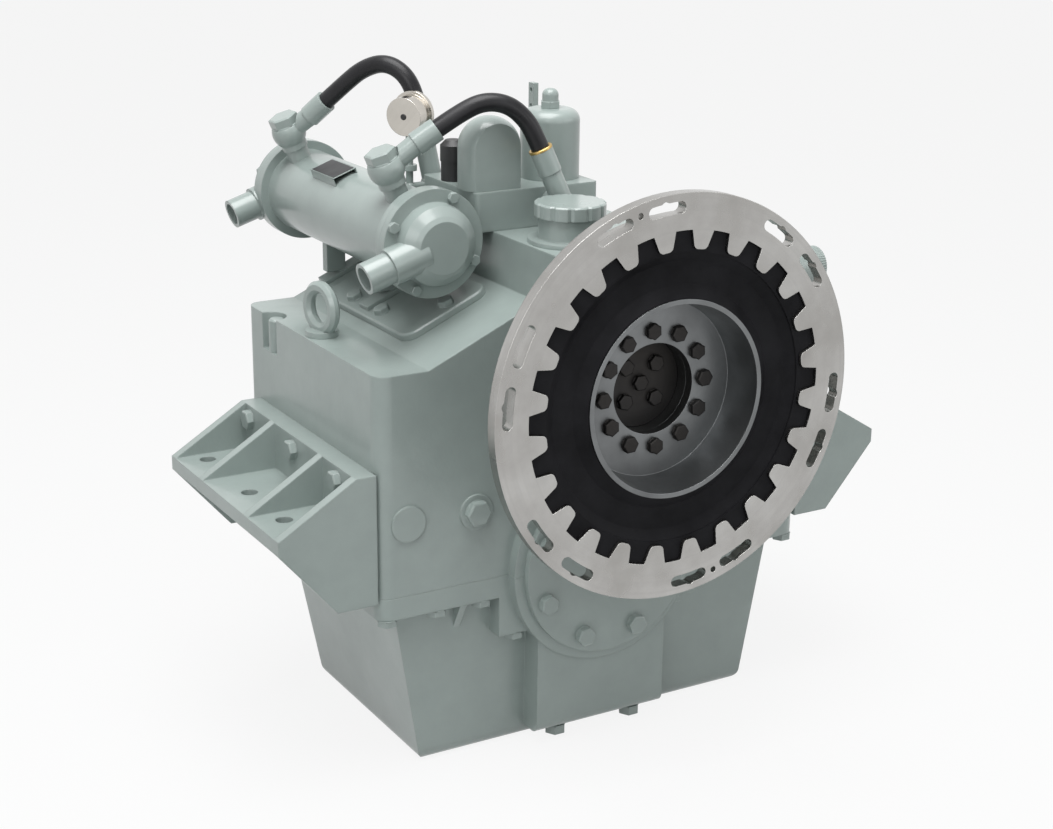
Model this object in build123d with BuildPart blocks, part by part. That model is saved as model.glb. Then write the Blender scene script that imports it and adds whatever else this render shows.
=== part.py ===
from build123d import *
import os
from math import acos, atan2, cos, degrees, pi, radians, sin, sqrt, tan

os.makedirs("parts", exist_ok=True)

# Marine reversing and reduction gearbox, in millimetres.
# The origin is where the input axis meets the front face of the coupling ring.
# X points right when looking at the ring, Y runs to the propeller side, Z is up.

REAR = (0, 1, 0)
FRONT = (0, -1, 0)
UP = (0, 0, 1)
DOWN = (0, 0, -1)

# Clearances, all radial or face to face
RUNNING_GAP = 0.3
SEAT_GAP = 0.05

# Coupling ring, a 16 inch clutch flywheel fit
RING_RADIUS = 258.75
BOLT_CIRCLE_RADIUS = 244.5
RING_RIM = 17
RING_DEPTH = 50
RING_HOLE_RADIUS = 6.75
RING_HOLE_PAIR_ANGLE = 17
DOWEL_HOLE_RADIUS = 4
SLOT_RADIUS = 241.7
SLOT_WIDTH = 14.6
SLOT_SWEEP = 9.2
SLOT_PAIR_ANGLE = 18
RING_TEETH = 24
TOOTH_ROOT_RADIUS = 213
TOOTH_TIP_RADIUS = 189
TOOTH_ROOT_WIDTH = 33
TOOTH_TIP_WIDTH = 17.5
TOOTH_ROUNDING = 7
RING_BARREL_WALL = 11

# Rubber element and hub
HUB_RIM_RADIUS = 121
HUB_FACE_RADIUS = 114
HUB_FACE_Y = 56
HUB_WALL = 6
HUB_FACE_THICK = 14
HUB_BORE_RADIUS = 59
HUB_BOLTS = 12
HUB_BOLT_CIRCLE = 75.6
RUBBER_RECESS = 12

# Gears
SHAFT_DROP = 264
PINION_TEETH = 17
OUTPUT_TEETH = 49
TRANSFER_TEETH = 27
PRESSURE_ANGLE = 20
BACKLASH = 0.5
TRANSFER_Y = 205
TRANSFER_WIDTH = 45
PINION_Y = 360
PINION_WIDTH = 80
OUTPUT_GEAR_INSET = 2

# Shafts and bearings
SHAFT_RADIUS = 45
JOURNAL_RADIUS = 40
HUB_SEAT_RADIUS = 42
OUTPUT_SHAFT_RADIUS = 62
OUTPUT_JOURNAL_RADIUS = 58
OUTPUT_NOSE_RADIUS = 50
BEARING_RADIUS = 70
INPUT_BEARING_RADIUS = 80
REVERSE_BEARING_RADIUS = 65
OUTPUT_FRONT_BEARING_RADIUS = 96
OUTPUT_REAR_BEARING_RADIUS = 95
REAR_BEARING_Y = 530
REAR_BEARING_WIDTH = 32

# Clutches
DRUM_WALL = 10
DRUM_INNER_RADIUS = 86
DRUM_LENGTH = 140
PISTON_THICK = 12
PISTON_TRAVEL = 3
CLUTCH_SLEEVE_RADIUS = 60
PLATE_THICK = 6

# Case
WALL = 12
DRUM_ROOM = 4
CASE_FRONT = 168
CASE_DEPTH = 412
CASE_CORNER = 20
ROOF_EDGE_Z = 30
SHOULDER_X = 258
PLATEAU_X = 102
PLATEAU_FOOT_Z = 99
PLATEAU_Z = 166
SNOUT_FRONT = 118
SNOUT_RADIUS = 102
BOSS_WALL = 18
FLANGE_THICK = 30
SUMP_FRONT = 193
SUMP_BACK = 530
SUMP_TOP_HALF = 297
SUMP_BOTTOM_HALF = 259
SUMP_FLOOR_Z = -521
SUMP_LEAN_FRONT = 4
SUMP_LEAN_BACK = 24
COLUMN_HALF = 101
COLUMN_FLOOR_Z = -503
OUTPUT_BOSS_RADIUS = 142
OUTPUT_BOSS_FRONT = 152

# Covers at the shaft ends
OUTPUT_COVER_RADIUS = 128
OUTPUT_COVER_THICK = 10
OUTPUT_COVER_BOLTS = 8
OUTPUT_COVER_BOLT_CIRCLE = 106
REAR_HOUSING_RADIUS = 120
REAR_HOUSING_FLANGE = 142
REAR_HOUSING_BORE = 110
REAR_HOUSING_END = 642
FLANGE_HUB_RADIUS = 72
OUTPUT_FLANGE_RADIUS = 130
OUTPUT_FLANGE_Y = 680
OUTPUT_FLANGE_THICK = 24
OUTPUT_FLANGE_HOLES = 8
OUTPUT_FLANGE_HOLE_RADIUS = 9
OUTPUT_FLANGE_CIRCLE = 105
REVERSE_COVER_RADIUS = 88

# Brackets
BRACKET_FRONT = 172
BRACKET_LENGTH = 368
BRACKET_REACH = 462
BRACKET_PLATE_THICK = 28
BRACKET_TOP_Z = -96
BRACKET_BOTTOM_Z = -269
BRACKET_SHELF_Z = -160
BRACKET_SHELF_THICK = 19
BRACKET_RIB = 14
BRACKET_RIB_STARTS = (0, 99, 253, 354)
BRACKET_HOLE_X = 424
BRACKET_HOLE_RADIUS = 11
BRACKET_HOLES_Y = (242, 355, 503)
BRACKET_JACK_RADIUS = 6
BRACKET_JACKS_Y = (206, 466)

# Screws, across flats and head height
M12_FLATS = 19
M12_HEAD = 8
M16_FLATS = 24
M16_HEAD = 10
M8_FLATS = 13
M8_HEAD = 5.5

# Things derived from the sizes above
gear_module = 2 * SHAFT_DROP / (PINION_TEETH + OUTPUT_TEETH)
pinion_pitch = gear_module * PINION_TEETH / 2
output_pitch = gear_module * OUTPUT_TEETH / 2
transfer_pitch = gear_module * TRANSFER_TEETH / 2
transfer_distance = 2 * transfer_pitch
reverse_z = -(transfer_distance**2) / (2 * SHAFT_DROP)
reverse_x = -sqrt(transfer_distance**2 - reverse_z**2)
split_z = -SHAFT_DROP
case_half = -reverse_x + transfer_pitch + gear_module + DRUM_ROOM + WALL
case_back = CASE_FRONT + CASE_DEPTH
flange_z = split_z - FLANGE_THICK
inside_front = CASE_FRONT + WALL
inside_back = case_back - WALL
rear_bearing_end = REAR_BEARING_Y + REAR_BEARING_WIDTH


def across(y, x=0.0, z=0.0):
    """Plane square to the shafts at station y, seen from the front."""
    return Plane(origin=(x, y, z), x_dir=(1, 0, 0), z_dir=(0, -1, 0))


def level(z, x=0.0, y=0.0):
    """Horizontal plane at height z."""
    return Plane(origin=(x, y, z), x_dir=(1, 0, 0), z_dir=(0, 0, 1))


def turned(profile, x=0.0, z=0.0):
    """Body of revolution about a line along Y; the profile holds (y, radius) corners."""
    with BuildPart() as body:
        with BuildSketch(Plane(origin=(x, 0, z), x_dir=(0, 1, 0), z_dir=(1, 0, 0))):
            with BuildLine():
                Polyline(*profile, close=True)
            make_face()
        revolve(axis=Axis((x, 0, z), (0, 1, 0)))
    return body.part


def upright(profile, x, y):
    """Body of revolution about a vertical line; the profile holds (radius, z) corners."""
    with BuildPart() as body:
        with BuildSketch(Plane(origin=(x, y, 0), x_dir=(1, 0, 0), z_dir=(0, -1, 0))):
            with BuildLine():
                Polyline(*profile, close=True)
            make_face()
        revolve(axis=Axis((x, y, 0), (0, 0, 1)))
    return body.part


def ring(start, end, inner, outer, x=0.0, z=0.0):
    """Plain ring about a line along Y."""
    return turned([(start, inner), (end, inner), (end, outer), (start, outer)], x, z)


def involute(angle):
    return tan(angle) - angle


def gear_outline(teeth, module, phase, flank_steps):
    """Corners of a spur gear whose first tooth points at phase degrees.

    Each flank is an involute taken at flank_steps chords, which lie inside the true flank.
    """
    pitch = module * teeth / 2
    base = pitch * cos(radians(PRESSURE_ANGLE))
    tip = pitch + module
    root = pitch - 1.25 * module
    radii = [root + (tip - root) * i / flank_steps for i in range(flank_steps + 1)]
    half_at_pitch = pi / (2 * teeth) + involute(radians(PRESSURE_ANGLE)) - BACKLASH / (2 * pitch)
    flank = []
    for radius in radii:
        pressure = acos(min(1.0, base / radius))
        flank.append((radius, half_at_pitch - involute(pressure)))
    corners = []
    for tooth in range(teeth):
        centre = radians(phase) + 2 * pi * tooth / teeth
        for radius, half in flank:
            corners.append((radius * cos(centre - half), radius * sin(centre - half)))
        for radius, half in reversed(flank):
            corners.append((radius * cos(centre + half), radius * sin(centre + half)))
    return corners


def toothed_rim(start, width, inner, teeth, module, phase, flank_steps, x=0.0, z=0.0):
    """Rim with outside teeth, from station start over a width."""
    with BuildPart() as rim:
        with BuildSketch(across(start, x, z)):
            with BuildLine():
                Polyline(*gear_outline(teeth, module, phase, flank_steps), close=True)
            make_face()
            Circle(inner, mode=Mode.SUBTRACT)
        extrude(amount=width, dir=REAR)
    return rim.part


def heading(start, end):
    """Direction in degrees from one axis to another, seen from the front."""
    return degrees(atan2(end[1] - start[1], end[0] - start[0]))


def mate_phase(phase, teeth, direction, mate_teeth):
    """Phase of the gear that lies in a direction, so that its spaces take the first gear's teeth."""
    share = (phase - direction) * teeth / 360
    return direction + 180 + 360 / mate_teeth * (0.5 - share)


input_axis = (0, 0)
reverse_axis = (reverse_x, reverse_z)
output_axis = (0, split_z)
ahead_drum_phase = heading(input_axis, reverse_axis)
astern_drum_phase = mate_phase(ahead_drum_phase, TRANSFER_TEETH, ahead_drum_phase, TRANSFER_TEETH)
ahead_pinion_phase = heading(input_axis, output_axis)
output_phase = mate_phase(ahead_pinion_phase, PINION_TEETH, ahead_pinion_phase, OUTPUT_TEETH)
astern_pinion_phase = mate_phase(
    output_phase, OUTPUT_TEETH, heading(output_axis, reverse_axis), PINION_TEETH
)

# Coupling ring: bolted rim, barrel and inside teeth
with BuildSketch() as ring_tooth:
    with BuildLine():
        Polyline(
            (TOOTH_ROOT_RADIUS + 2, TOOTH_ROOT_WIDTH / 2),
            (TOOTH_TIP_RADIUS, TOOTH_TIP_WIDTH / 2),
            (TOOTH_TIP_RADIUS, -TOOTH_TIP_WIDTH / 2),
            (TOOTH_ROOT_RADIUS + 2, -TOOTH_ROOT_WIDTH / 2),
            close=True,
        )
    make_face()
    fillet(ring_tooth.vertices().group_by(Axis.X)[0], radius=TOOTH_ROUNDING)

with BuildPart() as coupling_ring:
    with BuildSketch(across(0)):
        Circle(RING_RADIUS)
        Circle(TOOTH_ROOT_RADIUS, mode=Mode.SUBTRACT)
        for start in (105 - RING_HOLE_PAIR_ANGLE / 2, 105 + RING_HOLE_PAIR_ANGLE / 2):
            with PolarLocations(BOLT_CIRCLE_RADIUS, 6, start_angle=start):
                Circle(RING_HOLE_RADIUS, mode=Mode.SUBTRACT)
        with PolarLocations(BOLT_CIRCLE_RADIUS, 2, start_angle=105):
            Circle(DOWEL_HOLE_RADIUS, mode=Mode.SUBTRACT)
        for turn in range(6):
            for side in (-1, 1):
                middle = 75 + 60 * turn + side * SLOT_PAIR_ANGLE / 2
                slot_path = CenterArc(
                    (0, 0), SLOT_RADIUS, middle - SLOT_SWEEP / 2, SLOT_SWEEP, mode=Mode.PRIVATE
                )
                SlotArc(slot_path, SLOT_WIDTH, mode=Mode.SUBTRACT)
    extrude(amount=RING_RIM, dir=REAR)
    with BuildSketch(across(0)):
        Circle(TOOTH_ROOT_RADIUS + RING_BARREL_WALL)
        Circle(TOOTH_ROOT_RADIUS, mode=Mode.SUBTRACT)
        with PolarLocations(0, RING_TEETH, start_angle=180 / RING_TEETH):
            add(ring_tooth.sketch)
    extrude(amount=RING_DEPTH, dir=REAR)
coupling_ring.part.label = "coupling_ring"
export_step(coupling_ring.part, "parts/coupling_ring.step")

# Rubber element, bonded to the hub and toothed into the ring
hub_outer = HUB_RIM_RADIUS + HUB_WALL
rubber_body = turned(
    [
        (4, hub_outer + SEAT_GAP),
        (4 + RUBBER_RECESS, hub_outer + 16),
        (4 + RUBBER_RECESS, 172),
        (5, TOOTH_TIP_RADIUS - RUNNING_GAP),
        (RING_DEPTH - 2, TOOTH_TIP_RADIUS - RUNNING_GAP),
        (RING_DEPTH - 2, hub_outer + SEAT_GAP),
    ]
)
with BuildPart() as coupling_rubber:
    add(rubber_body)
    with BuildSketch(across(5)):
        Circle(TOOTH_ROOT_RADIUS - RUNNING_GAP)
        Circle(TOOTH_TIP_RADIUS - 4, mode=Mode.SUBTRACT)
        with BuildSketch(mode=Mode.PRIVATE) as tooth_room:
            add(ring_tooth.sketch)
            offset(amount=RUNNING_GAP, kind=Kind.INTERSECTION)
        with PolarLocations(0, RING_TEETH, start_angle=180 / RING_TEETH):
            add(tooth_room.sketch, mode=Mode.SUBTRACT)
    extrude(amount=RING_DEPTH - 7, dir=REAR)
coupling_rubber.part.label = "coupling_rubber"
export_step(coupling_rubber.part, "parts/coupling_rubber.step")

# Hub: the dish that carries the rubber
hub_back = HUB_FACE_Y + HUB_FACE_THICK
with BuildPart() as coupling_hub:
    add(
        turned(
            [
                (2, HUB_RIM_RADIUS),
                (HUB_FACE_Y, HUB_FACE_RADIUS),
                (HUB_FACE_Y, HUB_BORE_RADIUS),
                (hub_back, HUB_BORE_RADIUS),
                (hub_back, hub_outer),
                (2, hub_outer),
            ]
        )
    )
coupling_hub.part.label = "coupling_hub"
export_step(coupling_hub.part, "parts/coupling_hub.step")

# Flanged sleeve that carries the hub on the input shaft
FLANGE_SLEEVE_THICK = 16
FLANGE_SLEEVE_RADIUS = 96
SLEEVE_RADIUS = 72
SLEEVE_END = 148
END_PLATE_Y = 88
END_PLATE_THICK = 10
shaft_front = END_PLATE_Y + END_PLATE_THICK
with BuildPart() as coupling_flange:
    add(
        turned(
            [
                (hub_back, HUB_BORE_RADIUS),
                (shaft_front, HUB_BORE_RADIUS),
                (shaft_front, HUB_SEAT_RADIUS + SEAT_GAP),
                (SLEEVE_END, HUB_SEAT_RADIUS + SEAT_GAP),
                (SLEEVE_END, SLEEVE_RADIUS),
                (hub_back + FLANGE_SLEEVE_THICK, SLEEVE_RADIUS),
                (hub_back + FLANGE_SLEEVE_THICK, FLANGE_SLEEVE_RADIUS),
                (hub_back, FLANGE_SLEEVE_RADIUS),
            ]
        )
    )
coupling_flange.part.label = "coupling_flange"
export_step(coupling_flange.part, "parts/coupling_flange.step")

# Plate that holds the sleeve on the shaft end
with BuildPart() as shaft_end_plate:
    with BuildSketch(across(END_PLATE_Y)):
        Circle(HUB_BORE_RADIUS - RUNNING_GAP)
    extrude(amount=END_PLATE_THICK, dir=REAR)
shaft_end_plate.part.label = "shaft_end_plate"
export_step(shaft_end_plate.part, "parts/shaft_end_plate.step")

# Screws of the hub and of the end plate
HUB_BOLT_HEAD = 7
END_BOLT_CIRCLE = 32
with BuildPart() as coupling_bolts:
    with BuildSketch(across(HUB_FACE_Y)):
        with PolarLocations(HUB_BOLT_CIRCLE, HUB_BOLTS, start_angle=93):
            RegularPolygon(M12_FLATS / 2, 6, major_radius=False)
    extrude(amount=HUB_BOLT_HEAD, dir=FRONT)
    with BuildSketch(across(END_PLATE_Y)):
        RegularPolygon(M12_FLATS / 2, 6, major_radius=False)
        with PolarLocations(END_BOLT_CIRCLE, 4, start_angle=45):
            RegularPolygon(M12_FLATS / 2, 6, major_radius=False)
    extrude(amount=HUB_BOLT_HEAD, dir=FRONT)
coupling_bolts.part.label = "coupling_bolts"
export_step(coupling_bolts.part, "parts/coupling_bolts.step")

# Input shaft, with the collar behind the pinion and the stub that drives the pump
COLLAR_RADIUS = 54
COLLAR_WIDTH = 8
COLLAR_GAP = 0.5
PUMP_STUB_RADIUS = 14
PUMP_PLATE = 16
PUMP_GEAR_WIDTH = 20
pinion_end = PINION_Y + PINION_WIDTH
collar_start = pinion_end + COLLAR_GAP
pump_gear_start = case_back + PUMP_PLATE + RUNNING_GAP
pump_gear_end = pump_gear_start + PUMP_GEAR_WIDTH
bearing_front = SLEEVE_END + 4
with BuildPart() as input_shaft:
    add(
        turned(
            [
                (shaft_front, 0),
                (shaft_front, HUB_SEAT_RADIUS),
                (bearing_front - 2, HUB_SEAT_RADIUS),
                (bearing_front - 2, SHAFT_RADIUS),
                (collar_start, SHAFT_RADIUS),
                (collar_start, COLLAR_RADIUS),
                (collar_start + COLLAR_WIDTH, COLLAR_RADIUS),
                (collar_start + COLLAR_WIDTH, JOURNAL_RADIUS),
                (rear_bearing_end, JOURNAL_RADIUS),
                (rear_bearing_end, PUMP_STUB_RADIUS),
                (pump_gear_end + 4, PUMP_STUB_RADIUS),
                (pump_gear_end + 4, 0),
            ]
        )
    )
input_shaft.part.label = "input_shaft"
export_step(input_shaft.part, "parts/input_shaft.step")

# Reverse shaft
REVERSE_SHAFT_FRONT = 180
with BuildPart() as reverse_shaft:
    add(
        turned(
            [
                (REVERSE_SHAFT_FRONT, 0),
                (REVERSE_SHAFT_FRONT, JOURNAL_RADIUS),
                (TRANSFER_Y - 1, JOURNAL_RADIUS),
                (TRANSFER_Y - 1, SHAFT_RADIUS),
                (collar_start, SHAFT_RADIUS),
                (collar_start, COLLAR_RADIUS),
                (collar_start + COLLAR_WIDTH, COLLAR_RADIUS),
                (collar_start + COLLAR_WIDTH, JOURNAL_RADIUS),
                (rear_bearing_end, JOURNAL_RADIUS),
                (rear_bearing_end, 0),
            ],
            reverse_x,
            reverse_z,
        )
    )
reverse_shaft.part.label = "reverse_shaft"
export_step(reverse_shaft.part, "parts/reverse_shaft.step")

# Clutch drums: transfer gear, drum and the outer plates splined into it
PISTON_CHAMBER_INNER = 58
DRUM_WEB = 12
DRUM_HUB_LENGTH = 45
PISTON_GAP = 2
drum_outer = DRUM_INNER_RADIUS + DRUM_WALL
drum_end = TRANSFER_Y + DRUM_LENGTH
piston_start = TRANSFER_Y + DRUM_WEB + PISTON_GAP
first_plate = piston_start + PISTON_THICK + PISTON_TRAVEL + 3
PLATE_PITCH = 18
OUTER_PLATES = 2


def clutch_drum(x, z, phase):
    """Drum with its transfer gear, and the outer plates as solids of their own."""
    rim = toothed_rim(
        TRANSFER_Y, TRANSFER_WIDTH, drum_outer - 2, TRANSFER_TEETH, gear_module, phase, 1, x, z
    )
    shell = turned(
        [
            (TRANSFER_Y, SHAFT_RADIUS + SEAT_GAP),
            (TRANSFER_Y + DRUM_HUB_LENGTH, SHAFT_RADIUS + SEAT_GAP),
            (TRANSFER_Y + DRUM_HUB_LENGTH, PISTON_CHAMBER_INNER),
            (TRANSFER_Y + DRUM_WEB, PISTON_CHAMBER_INNER),
            (TRANSFER_Y + DRUM_WEB, DRUM_INNER_RADIUS),
            (drum_end, DRUM_INNER_RADIUS),
            (drum_end, drum_outer),
            (TRANSFER_Y, drum_outer),
        ],
        x,
        z,
    )
    plates = [
        ring(
            first_plate + PLATE_PITCH * 2 * i,
            first_plate + PLATE_PITCH * 2 * i + PLATE_THICK,
            CLUTCH_SLEEVE_RADIUS + 4,
            DRUM_INNER_RADIUS - SEAT_GAP,
            x,
            z,
        )
        for i in range(OUTER_PLATES)
    ]
    with BuildPart() as drum:
        add(rim)
        add(shell)
        for plate in plates:
            add(plate)
    return drum


ahead_drum = clutch_drum(0, 0, ahead_drum_phase)
ahead_drum.part.label = "ahead_drum"
export_step(ahead_drum.part, "parts/ahead_drum.step")

astern_drum = clutch_drum(reverse_x, reverse_z, astern_drum_phase)
astern_drum.part.label = "astern_drum"
export_step(astern_drum.part, "parts/astern_drum.step")


def clutch_piston(x, z):
    """Annular piston in the drum's chamber."""
    with BuildPart() as piston:
        add(
            ring(
                piston_start,
                piston_start + PISTON_THICK,
                PISTON_CHAMBER_INNER + RUNNING_GAP,
                DRUM_INNER_RADIUS - RUNNING_GAP,
                x,
                z,
            )
        )
    return piston


ahead_piston = clutch_piston(0, 0)
ahead_piston.part.label = "ahead_piston"
export_step(ahead_piston.part, "parts/ahead_piston.step")

astern_piston = clutch_piston(reverse_x, reverse_z)
astern_piston.part.label = "astern_piston"
export_step(astern_piston.part, "parts/astern_piston.step")

# Pinions: gear, clutch sleeve and the friction discs splined on it
sleeve_start = TRANSFER_Y + DRUM_HUB_LENGTH + 4


def clutch_pinion(x, z, phase):
    """Free-running pinion, with its friction discs as solids of their own."""
    gear = toothed_rim(
        PINION_Y, PINION_WIDTH, CLUTCH_SLEEVE_RADIUS - 6, PINION_TEETH, gear_module, phase, 2, x, z
    )
    pinion_root = pinion_pitch - 1.25 * gear_module
    sleeve = turned(
        [
            (sleeve_start, SHAFT_RADIUS + RUNNING_GAP),
            (pinion_end, SHAFT_RADIUS + RUNNING_GAP),
            (pinion_end, pinion_root - 1),
            (PINION_Y, pinion_root - 1),
            (sleeve_start, pinion_root - 1),
        ],
        x,
        z,
    )
    discs = [
        ring(
            first_plate + PLATE_PITCH * (2 * i + 1),
            first_plate + PLATE_PITCH * (2 * i + 1) + PLATE_THICK,
            pinion_root - 1 + SEAT_GAP,
            DRUM_INNER_RADIUS - 4,
            x,
            z,
        )
        for i in range(OUTER_PLATES)
    ]
    with BuildPart() as pinion:
        add(gear)
        add(sleeve)
        for disc in discs:
            add(disc)
    return pinion


ahead_pinion = clutch_pinion(0, 0, ahead_pinion_phase)
ahead_pinion.part.label = "ahead_pinion"
export_step(ahead_pinion.part, "parts/ahead_pinion.step")

astern_pinion = clutch_pinion(reverse_x, reverse_z, astern_pinion_phase)
astern_pinion.part.label = "astern_pinion"
export_step(astern_pinion.part, "parts/astern_pinion.step")

# Output gear: hub, web and toothed rim
OUTPUT_HUB_RADIUS = 84
OUTPUT_WEB_HALF = 10
OUTPUT_RIM_INNER = 166
output_gear_start = PINION_Y + OUTPUT_GEAR_INSET
output_gear_width = PINION_WIDTH - 2 * OUTPUT_GEAR_INSET
output_gear_end = output_gear_start + output_gear_width
output_gear_middle = output_gear_start + output_gear_width / 2
output_root = output_pitch - 1.25 * gear_module
output_rim = toothed_rim(
    output_gear_start,
    output_gear_width,
    OUTPUT_RIM_INNER,
    OUTPUT_TEETH,
    gear_module,
    output_phase,
    1,
    0,
    split_z,
)
with BuildPart() as output_gear:
    add(output_rim)
    add(
        ring(
            output_gear_middle - OUTPUT_WEB_HALF,
            output_gear_middle + OUTPUT_WEB_HALF,
            OUTPUT_HUB_RADIUS - 4,
            OUTPUT_RIM_INNER + 4,
            0,
            split_z,
        )
    )
    add(
        ring(
            output_gear_start - 6,
            output_gear_end + 6,
            OUTPUT_SHAFT_RADIUS + SEAT_GAP,
            OUTPUT_HUB_RADIUS,
            0,
            split_z,
        )
    )
output_gear.part.label = "output_gear"
export_step(output_gear.part, "parts/output_gear.step")

# Output shaft
OUTPUT_SHAFT_FRONT = 176
FRONT_BEARING_END = 206
OUTPUT_REAR_BEARING_Y = 558
OUTPUT_REAR_BEARING_END = 600
shaft_shoulder = output_gear_end + 12
flange_hub_start = OUTPUT_REAR_BEARING_END + 4
output_flange_end = OUTPUT_FLANGE_Y + OUTPUT_FLANGE_THICK
with BuildPart() as output_shaft:
    add(
        turned(
            [
                (OUTPUT_SHAFT_FRONT, 0),
                (OUTPUT_SHAFT_FRONT, OUTPUT_NOSE_RADIUS),
                (FRONT_BEARING_END + 2, OUTPUT_NOSE_RADIUS),
                (FRONT_BEARING_END + 2, OUTPUT_SHAFT_RADIUS),
                (shaft_shoulder, OUTPUT_SHAFT_RADIUS),
                (shaft_shoulder, OUTPUT_JOURNAL_RADIUS),
                (flange_hub_start, OUTPUT_JOURNAL_RADIUS),
                (flange_hub_start, OUTPUT_NOSE_RADIUS),
                (output_flange_end - 4, OUTPUT_NOSE_RADIUS),
                (output_flange_end - 4, 0),
            ],
            0,
            split_z,
        )
    )
output_shaft.part.label = "output_shaft"
export_step(output_shaft.part, "parts/output_shaft.step")

# Propeller flange
with BuildPart() as output_flange:
    add(
        turned(
            [
                (flange_hub_start, OUTPUT_NOSE_RADIUS + SEAT_GAP),
                (output_flange_end, OUTPUT_NOSE_RADIUS + SEAT_GAP),
                (output_flange_end, OUTPUT_FLANGE_RADIUS),
                (OUTPUT_FLANGE_Y, OUTPUT_FLANGE_RADIUS),
                (OUTPUT_FLANGE_Y, FLANGE_HUB_RADIUS),
                (flange_hub_start, FLANGE_HUB_RADIUS),
            ],
            0,
            split_z,
        )
    )
    with BuildSketch(across(OUTPUT_FLANGE_Y, 0, split_z)):
        with PolarLocations(OUTPUT_FLANGE_CIRCLE, OUTPUT_FLANGE_HOLES):
            Circle(OUTPUT_FLANGE_HOLE_RADIUS)
    extrude(amount=OUTPUT_FLANGE_THICK, dir=REAR, mode=Mode.SUBTRACT)
output_flange.part.label = "output_flange"
export_step(output_flange.part, "parts/output_flange.step")

# Case section: flat roof edges, slopes and a raised plateau, set in by a wall
roof_slope = (PLATEAU_FOOT_Z - ROOF_EDGE_Z) / (SHOULDER_X - PLATEAU_X)
roof_angle = degrees(atan2(PLATEAU_FOOT_Z - ROOF_EDGE_Z, SHOULDER_X - PLATEAU_X))
slope_stretch = sqrt(1 + roof_slope**2)


def roof_outline(inset):
    """Corners of the upper case seen from the front."""
    half = case_half - inset
    edge = ROOF_EDGE_Z - inset
    plateau = PLATEAU_X - inset
    shoulder = SHOULDER_X - inset * (slope_stretch - 1) / roof_slope
    foot = PLATEAU_FOOT_Z + inset * (roof_slope - slope_stretch)
    right = [
        (plateau, PLATEAU_Z - inset),
        (plateau, foot),
        (shoulder, edge),
        (half, edge),
        (half, split_z),
    ]
    return right + [(-x, z) for x, z in reversed(right)]


# Pocket for the corner bolt, in the left wall near the back
POCKET_Y = 500
POCKET_RADIUS = 24
POCKET_FLOOR_Z = -20
CORNER_BOLT_Y = 478
# Inspection opening and cover on the left slope
COVER_X = -178.5
COVER_Y = 389.5
COVER_WIDTH = 132
COVER_LENGTH = 255
COVER_THICK = 10
COVER_CORNER = 20
OPENING_MARGIN = 26
# Oil filler on the plateau
FILLER_X = -44
FILLER_Y = 190
FILLER_CASE_HOLE = 30
FILLER_HOLE_DEPTH = 66
# Strainer housing at the right of the roof
STRAINER_Y = 192
STRAINER_Z = 90
STRAINER_RADIUS = 32
STRAINER_BORE = 22
STRAINER_END = 335
STRAINER_START = 190
# Round boss and plug on the front face
FACE_BOSS = (-288, -166)
FACE_PLUG = (-191, -167)
FACE_BOSS_RADIUS = 24
FACE_BOSS_HEIGHT = 3
FRONT_BEARING_Y = 152
REVERSE_FRONT_WIDTH = 22

slope_middle = Plane(
    origin=(COVER_X, COVER_Y, ROOF_EDGE_Z + roof_slope * (SHOULDER_X + COVER_X)),
    x_dir=(cos(radians(roof_angle)), 0, sin(radians(roof_angle))),
    z_dir=(-sin(radians(roof_angle)), 0, cos(radians(roof_angle))),
)
input_bore = INPUT_BEARING_RADIUS
rear_bore = BEARING_RADIUS + SEAT_GAP


# Round faces and inside bosses round the output shaft, shared by both halves of the case
sump_inside_back = SUMP_BACK - SUMP_LEAN_BACK
output_bore_end = FRONT_BEARING_END + 3
with BuildPart() as output_bosses:
    with BuildSketch(across(OUTPUT_BOSS_FRONT, 0, split_z)):
        Circle(OUTPUT_BOSS_RADIUS)
    extrude(amount=inside_front - OUTPUT_BOSS_FRONT, dir=REAR)
    with BuildSketch(across(inside_front - 1, 0, split_z)):
        Circle(OUTPUT_FRONT_BEARING_RADIUS + BOSS_WALL)
    extrude(amount=output_bore_end - inside_front + 1, dir=REAR)
    with BuildSketch(across(sump_inside_back, 0, split_z)):
        Circle(OUTPUT_BOSS_RADIUS)
    extrude(amount=case_back - sump_inside_back, dir=REAR)

with BuildPart() as output_bores:
    with BuildSketch(across(OUTPUT_BOSS_FRONT, 0, split_z)):
        Circle(OUTPUT_FRONT_BEARING_RADIUS)
    extrude(amount=output_bore_end - OUTPUT_BOSS_FRONT, dir=REAR)
    with BuildSketch(across(sump_inside_back - WALL, 0, split_z)):
        Circle(REAR_HOUSING_BORE)
    extrude(amount=case_back - sump_inside_back + WALL, dir=REAR)


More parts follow.
